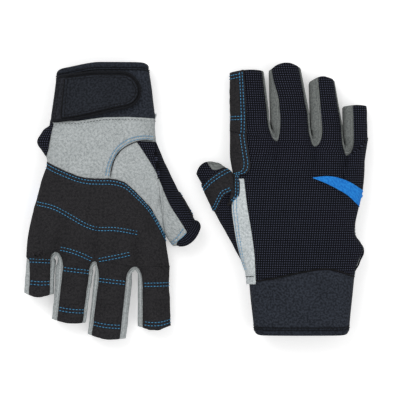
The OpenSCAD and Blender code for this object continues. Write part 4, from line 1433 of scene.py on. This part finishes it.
def build_thumb(g):
    """Front, back, wrap and bridge of the thumb, with their stitches."""
    hand = GLOVES[g]
    rows = dense(60, 0.3)
    seam = THUMB_SEAM[g]
    loose = slack(71, 0.35, 15.0)
    surface = lambda f, a, d: thumb_point(g, f, a, d)
    a = np.linspace(seam - 4, 6, 40)
    hem = [line(surface, share, a) for share in (0.84, 0.9)]

    def inner_seam(f):
        """Angle of the seam on the thumb's inner side."""
        return -8 - (60 if g == RIGHT else 0) * smooth((f - 0.58) / 0.3)

    # On the right glove the thumb's front and bridge take the darker grey that paints shade.
    front = grid_piece(f"{hand}_thumb_suede", g,
                       lambda f, t, d: thumb_point(g, f, mix(seam, inner_seam(f), t), d), rows,
                       dense(48, 0), GREY_SHADED_ON_RIGHT[g], 1.0, together(loose, puckers(hem, 0.3)),
                       dip=0.4)
    back = grid_piece(f"{hand}_thumb_mesh", g,
                      lambda f, t, d: thumb_point(g, f, mix(360 + inner_seam(f), seam, t), d),
                      rows, dense(80, 0), MESH, 1.2, loose, dip=0.4)

    def patch_point(t, a, d):
        """The band of suede, 1 mm out of the thumb."""
        return thumb_point(g, mix(wrap_low(a), wrap_high(a), t), a, d + 1.0)

    def bridge_point(r, t, d):
        """Palm suede carried over to the thumb: a straight line between the two, arched."""
        a = mix(*BRIDGE_ANGLES, r)
        far = thumb_point(g, BRIDGE_F, a, d + 0.35)
        v = thumb_point(g, 0.0, a)[..., 1]
        near = panel_at(g, PALM, BRIDGE_C + 0 * v, v, d + 0.35)
        p = near + (far - near) * t[..., None]
        p[..., 2] += BRIDGE_ARCH * np.sin(np.pi * t)
        return p

    bridge = grid_piece(f"{hand}_thumb_bridge", g, bridge_point, dense(40, 0), dense(16, 0),
                        GREY_SHADED_ON_RIGHT[g], 0.6, loose, dip=0.3)
    a = np.linspace(168, 345, 70)
    length = np.linalg.norm(patch_point(0 * a, a, 0) - patch_point(0 * a + 1, a, 0), axis=1)
    upper = [line(patch_point, share, a) for share in (1 - 1.3 / length, 1 - 3.5 / length)]
    lower = [line(patch_point, share[:52], a[:52]) for share in (1.3 / length, 3.5 / length)]
    lines = upper + lower
    patch = grid_piece(f"{hand}_thumb_wrap", g, patch_point, rows, np.linspace(164, 350, 61), BLACK,
                       1.4, together(loose, puckers(lines, 0.25)), dip=0.3)
    pieces = [front, back, patch, bridge]
    pieces += stitches(f"{hand}_thumb_stitches", g, lifted(lines, loose), BLUE_THREAD)
    pieces += stitches(f"{hand}_thumb_hem_stitches", g, lifted(hem, loose), PALE_THREAD)
    if g == LEFT:
        a = np.linspace(186, 40, 60)
        pieces.append(cord(f"{hand}_thumb_tip_fold", g, line(surface, 0.965 + 0 * a, a, d=-0.4),
                           3.8, MESH, 16, (0.3, 0.4), 0.7))
    for piece in pieces:
        bend_thumb(piece, g)
    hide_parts(f"{hand}_thumb_front")
    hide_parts(f"{hand}_thumb_back")
    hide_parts(f"{hand}_thumb_patch")


both(build_thumb)

# %% [markdown]
# ## Cuff
# A neoprene band with a turned hem at its mouth. A closed ring of points gives each of them
# an inside as well, so that the open wrist looks right from the end. The seam towards the
# hand and the hem's crease are thin dark cords, because real seams show as shadow lines.

# %% Cuff
def cuff_ring(g, v_of, d=0.0):
    """Function of (rows, places round) for a closed ring; v_of(row, side, x) gives v."""
    def point(r, c, extra):
        palm_side = c < 1
        x = np.where(palm_side, -np.cos(np.pi * c), np.cos(np.pi * (c - 1)))
        parts = [cuff_point(g, side, x, v_of(r, side, x), d + extra) for side in (PALM, BACK)]
        return np.where(palm_side[..., None], parts[0], parts[1])
    return point


def slope(g, x):
    """How far the hem and the strap's upper edge slope at the ulnar side."""
    return HEM_SLOPE[g] * smooth(-x - 0.05)


def hem_v(g, x):
    """The hem line: 1.8 |x|^20 at the two folded edges, plus the slope."""
    return 1.8 * np.abs(x) ** 20 + slope(g, x)


def build_cuff(g):
    """The band, its hem and the dark cords: painted shade lines at the hem's crease and the seam.
    """
    hand, body = GLOVES[g], f"{GLOVES[g]}_hand"
    round_about = np.linspace(0, 2, 181)[:-1]
    level = lambda r, side, x: mix(hem_v(g, x) + HEM_WIDTH, cuff_top(side, x) + 0.6, r)
    hem_level = lambda r, side, x: hem_v(g, x) + r * (HEM_WIDTH + 0.3)
    wave = slack(91 + g, 0.3, 24.0)
    on_hem = lambda r, c, d: cuff_ring(g, hem_level)(r, np.mod(c, 2), d)
    band = grid_piece(f"{hand}_cuff", g, cuff_ring(g, level), dense(44, 0.5), round_about, NEOPRENE,
                      2.4, together(wave, band_edges(g)), closed=True)
    hem = grid_piece(f"{hand}_hem", g, cuff_ring(g, hem_level, 0.15), dense(12), round_about, HEM,
                     2.4, together(wave, hem_roll(g)), closed=True)
    c = np.linspace(0, 2, 241)
    seam = [line(on_hem, 0.72, c, d=0.3)]
    rows = stitches(f"{hand}_hem_stitches", g, lifted(seam, wave), BLACK_THREAD, 0.22)
    fold = [line(on_hem, 1.0, c, d=0.0)]
    x = np.linspace(-0.985, 0.985, 120) * (1 if g == RIGHT else 0.95)
    join = line(lambda x, v, d: cuff_point(g, BACK, x, v, d), x, cuff_top(BACK, x) + 0.4, d=0.5)
    # Painted shade: a black row along the hem's fold and a black cord along the seam to the hand
    # stand for the shadow lines there.
    rows.append(capsules(f"{hand}_hem_crease_shade", g, lifted(fold, wave), BLACK_THREAD, 0.42, 2.8, 2.2,
                         0, 0))
    rows.append(cord(f"{hand}_cuff_seam_shade", g, join, 0.6, BLACK_THREAD, 10, (0.01, 0.01), 0.7))
    for piece in [band, hem] + rows:
        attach(piece, body)
    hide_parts(f"{hand}_cuff_band")
    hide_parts(f"{hand}_cuff_hem")


def band_edges(g):
    """The band dips where it meets the hem and the hand panels."""
    def shift(q):
        x = np.clip(q[..., 0] / CUFF_TOP_HALF, -1, 1)
        low = q[..., 1] - hem_v(g, x) - HEM_WIDTH
        return -0.7 * bell(low, 0.9)
    return shift


def hem_roll(g):
    """The hem is rounded at the mouth and pressed along its stitches."""
    def shift(q):
        x = np.clip(q[..., 0] / CUFF_HEM_HALF, -1, 1)
        f = q[..., 1] - hem_v(g, x)
        return -0.9 * bell(f, 1.1) - 0.35 * bell(f - 0.75 * HEM_WIDTH, 0.7)
    return shift


both(build_cuff)

# %% [markdown]
# ## Wrist strap
# A tapered strap with a round end closes over the palm side of the cuff with hooks and loops.
# Its cloth, its bound edge and its stitches have their transforms baked where they are built,
# and everything else on it turns with the strap.

# %% Strap
# Places along the strap are in half widths of the cuff. The heights go from the cuff out, and
# each layer lies inside the strap's edge by its margin.
STRAP_ROOT = -0.93
STRAP_SEAM = -0.72
STRAP_END = STRAP_REACH / CUFF_TOP_HALF
STRAP_MIDDLE = STRAP_OFFSET + STRAP_WIDTH / 2
STRAP_TAPER = (STRAP_WIDTH - STRAP_END_WIDTH) / 2
LOOP_LOW = LAYER_GAP
HOOK_LOW = LOOP_LOW + FASTENER_WALL + LAYER_GAP
STRAP_LOW = HOOK_LOW + FASTENER_WALL + LAYER_GAP
PATCH_LOW = STRAP_LOW + STRAP_WALL + LAYER_GAP
PATCH_MARGIN, HOOK_MARGIN, LOOP_MARGIN = 2.8, 3.8, 3.4
HOOK_START, LOOP_START = 0.0, -0.6
print("strap over the cuff:", round(PATCH_LOW + PATCH_WALL, 2), "mm high")


def strap_end(margin):
    """x of the strap's round end with its edge drawn in by margin."""
    return STRAP_END - margin / CUFF_TOP_HALF


def strap_point(g, x, y, margin, d):
    """The strap at x along and y from -1 to 1 across, its edges drawn in by margin. Its end is
    half a circle."""
    share = smooth((x - STRAP_ROOT) / (STRAP_END - STRAP_ROOT))
    centre = STRAP_END - STRAP_END_WIDTH / 2 / CUFF_TOP_HALF
    past = np.clip((x - centre) * CUFF_TOP_HALF / (STRAP_END_WIDTH / 2 - margin), 0, 1)
    half = (STRAP_WIDTH / 2 - STRAP_TAPER * share - margin) * np.sqrt(1 - past**2)
    v = STRAP_MIDDLE - 0.9 * STRAP_TAPER * share + y * np.maximum(half, 0.05)
    v = v + slope(g, x) * 0.4 * (1 - y)
    return cuff_point(g, PALM, x, v, d)


def strap_rim(g, margin, start, d, drop=False):
    """Line round the strap, margin inside its edge: along one side, round the end and back."""
    end, centre = strap_end(margin), STRAP_END - STRAP_END_WIDTH / 2 / CUFF_TOP_HALF
    turn = np.sin(np.linspace(0, np.pi / 2, 30))
    x = np.concatenate([np.linspace(start, centre, 60)[:-1], mix(centre, end, turn)])
    y = np.concatenate([-np.ones(len(x)), np.ones(len(x) - 1)])
    x = np.concatenate([x, x[::-1][1:]])
    point = lambda x, y, d: strap_point(g, x, y, margin, d - (strap_drop(x) if drop else 0))
    return line(point, x, y, d=d)


def strap_drop(x):
    """How far the strap comes down to the cuff where it is sewn on."""
    return (STRAP_LOW - 0.2) * (1 - smooth((x - STRAP_ROOT) / 0.25))


def strap_layer(g, name, a, b, margin, low, wall, material, drop=False, edge=0.5):
    """A layer of the strap with rounded edges."""
    def point(r, c, d):
        x = mix(a, b, r)
        y = np.sin(np.pi / 2 * c)
        fall = strap_drop(x) if drop else 0
        rim = edge * (bell(1 - np.abs(c), 0.09) + bell(1 - r, 0.03))
        return strap_point(g, x, y, margin, low + wall - fall - rim + d)
    return grid_piece(name, g, point, dense(70), np.linspace(-1, 1, 41), material, wall, dip=0)


# %% Building the strap
def build_strap(g):
    """The strap, its patch, the two halves of its fastening, its edge and its stitches."""
    hand = GLOVES[g]
    strap = strap_layer(g, f"{hand}_strap_cloth", STRAP_ROOT, STRAP_END, 0, STRAP_LOW, STRAP_WALL,
                        STRAP, drop=True)
    patch = strap_layer(g, f"{hand}_strap_panel", STRAP_SEAM, strap_end(PATCH_MARGIN),
                        PATCH_MARGIN, PATCH_LOW, PATCH_WALL, PATCH, edge=0.35)
    hook = strap_layer(g, f"{hand}_hooks", HOOK_START, strap_end(HOOK_MARGIN), HOOK_MARGIN,
                       HOOK_LOW, FASTENER_WALL, HOOK)
    loop = strap_layer(g, f"{hand}_loops", LOOP_START, strap_end(LOOP_MARGIN), LOOP_MARGIN,
                       LOOP_LOW, FASTENER_WALL, LOOP)
    top = PATCH_LOW + PATCH_WALL
    lines = [strap_rim(g, 4.4, STRAP_SEAM + 0.03, top)]
    y = np.linspace(-0.93, 0.93, 40)
    across = lambda x, y, d: strap_point(g, x, y, 2.2, d)
    lines.append(line(across, STRAP_SEAM + 0.045, y, d=top))
    down = lambda x, y, d: strap_point(g, x, y, 0, d - strap_drop(x))
    root = [line(down, x, np.linspace(-0.96, 0.96, 40), d=STRAP_LOW + STRAP_WALL)
            for x in (-0.9, -0.86)]
    threads = stitches(f"{hand}_strap_stitches", g, lines + root, BLACK_THREAD, 0.24)
    rim = strap_rim(g, 1.1, STRAP_ROOT + 0.02, STRAP_LOW + 1.3, True)
    binding = cord(f"{hand}_strap_binding", g, rim, 1.25, BINDING, 14, (0.01, 0.01), 0.75)
    # The two thin black cords are painted shade: shadow lines along the patch's edge and along its
    # seam across the strap.
    threads += [binding,
                cord(f"{hand}_strap_crease_shade", g, strap_rim(g, 2.7, STRAP_SEAM, top - 0.25), 0.36,
                     BLACK_THREAD, 8, (0.01, 0.01)),
                cord(f"{hand}_strap_seam_shade", g, line(across, STRAP_SEAM - 0.012, y, d=top - 0.3),
                     0.42, BLACK_THREAD, 8, (0.02, 0.02))]
    root_row, strap_row = (world(g, strap_point(g, x, 0.0, 0, STRAP_LOW))
                           for x in (STRAP_ROOT + 0.05, STRAP_SEAM - 0.02))
    for piece in [strap, threads[0], threads[1], binding]:
        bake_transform(piece)
    for piece in [patch, hook] + threads[3:]:
        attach(piece, f"{hand}_strap")
    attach(loop, f"{hand}_hand")
    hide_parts(f"{hand}_wrist_strap")
    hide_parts(f"{hand}_strap_patch")
    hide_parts(f"{hand}_hook_pad")
    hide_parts(f"{hand}_loop_pad")


both(build_strap)

# %% [markdown]
# ## Floor, light and camera
# A white floor, one large soft lamp from the upper left, a weaker one opposite, and a long
# lens straight above.

# %% Stage
SENSOR = 36


def build_stage():
    """A white floor that looks white to the camera and lights the gloves less."""
    bpy.ops.mesh.primitive_plane_add(size=6)
    floor = bpy.context.object
    floor.name = "floor"
    floor.location.z = -0.0005
    material = bpy.data.materials.new("floor_white")
    material.use_nodes = True
    shader = material.node_tree.nodes["Principled BSDF"]
    shader.inputs["Base Color"].default_value = (0.86, 0.86, 0.86, 1)
    shader.inputs["Roughness"].default_value = 0.9
    shader.inputs["Emission Color"].default_value = (1, 1, 1, 1)
    path = material.node_tree.nodes.new("ShaderNodeLightPath")
    scale = material.node_tree.nodes.new("ShaderNodeMath")
    scale.operation = "MULTIPLY"
    scale.inputs[1].default_value = 0.4
    material.node_tree.links.new(path.outputs["Is Camera Ray"], scale.inputs[0])
    material.node_tree.links.new(scale.outputs[0], shader.inputs["Emission Strength"])
    floor.data.materials.append(material)
    floor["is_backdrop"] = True


def add_lamp(name, place, size, power):
    """A square lamp that looks at the middle of the row."""
    data = bpy.data.lights.new(name, "AREA")
    data.size, data.energy = size, power
    lamp = bpy.data.objects.new(name, data)
    lamp.location = place
    lamp.rotation_euler = Vector(place).to_track_quat("Z", "Y").to_euler()
    bpy.context.scene.collection.objects.link(lamp)


def build_light():
    """An even white sky and two lamps."""
    sky_world = bpy.context.scene.world or bpy.data.worlds.new("world")
    bpy.context.scene.world = sky_world
    sky_world.use_nodes = True
    sky = sky_world.node_tree.nodes["Background"]
    sky.inputs["Color"].default_value = (1, 1, 1, 1)
    sky.inputs["Strength"].default_value = 0.62
    add_lamp("key_lamp", (-0.7, 0.9, 1.4), 1.0, 10)
    add_lamp("fill_lamp", (0.9, -0.4, 1.3), 1.2, 6)


def build_camera():
    """A camera above the gloves whose picture is width metres wide at their height."""
    data = bpy.data.cameras.new("camera")
    camera = bpy.data.objects.new("camera", data)
    bpy.context.scene.collection.objects.link(camera)
    height, width = 1.8, 0.288
    data.sensor_width = SENSOR
    data.lens = SENSOR * (height - 0.015) / width
    camera.location = (0.0031, -0.0002, height)
    bpy.context.scene.camera = camera


build_stage()
build_light()
build_camera()
bpy.context.scene.view_settings.view_transform = "Standard"

# %% Finish
box = lambda b: [[float(x) for x in corner] for corner in b]
{"cad": box(cad_box), "visual": box(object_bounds())}
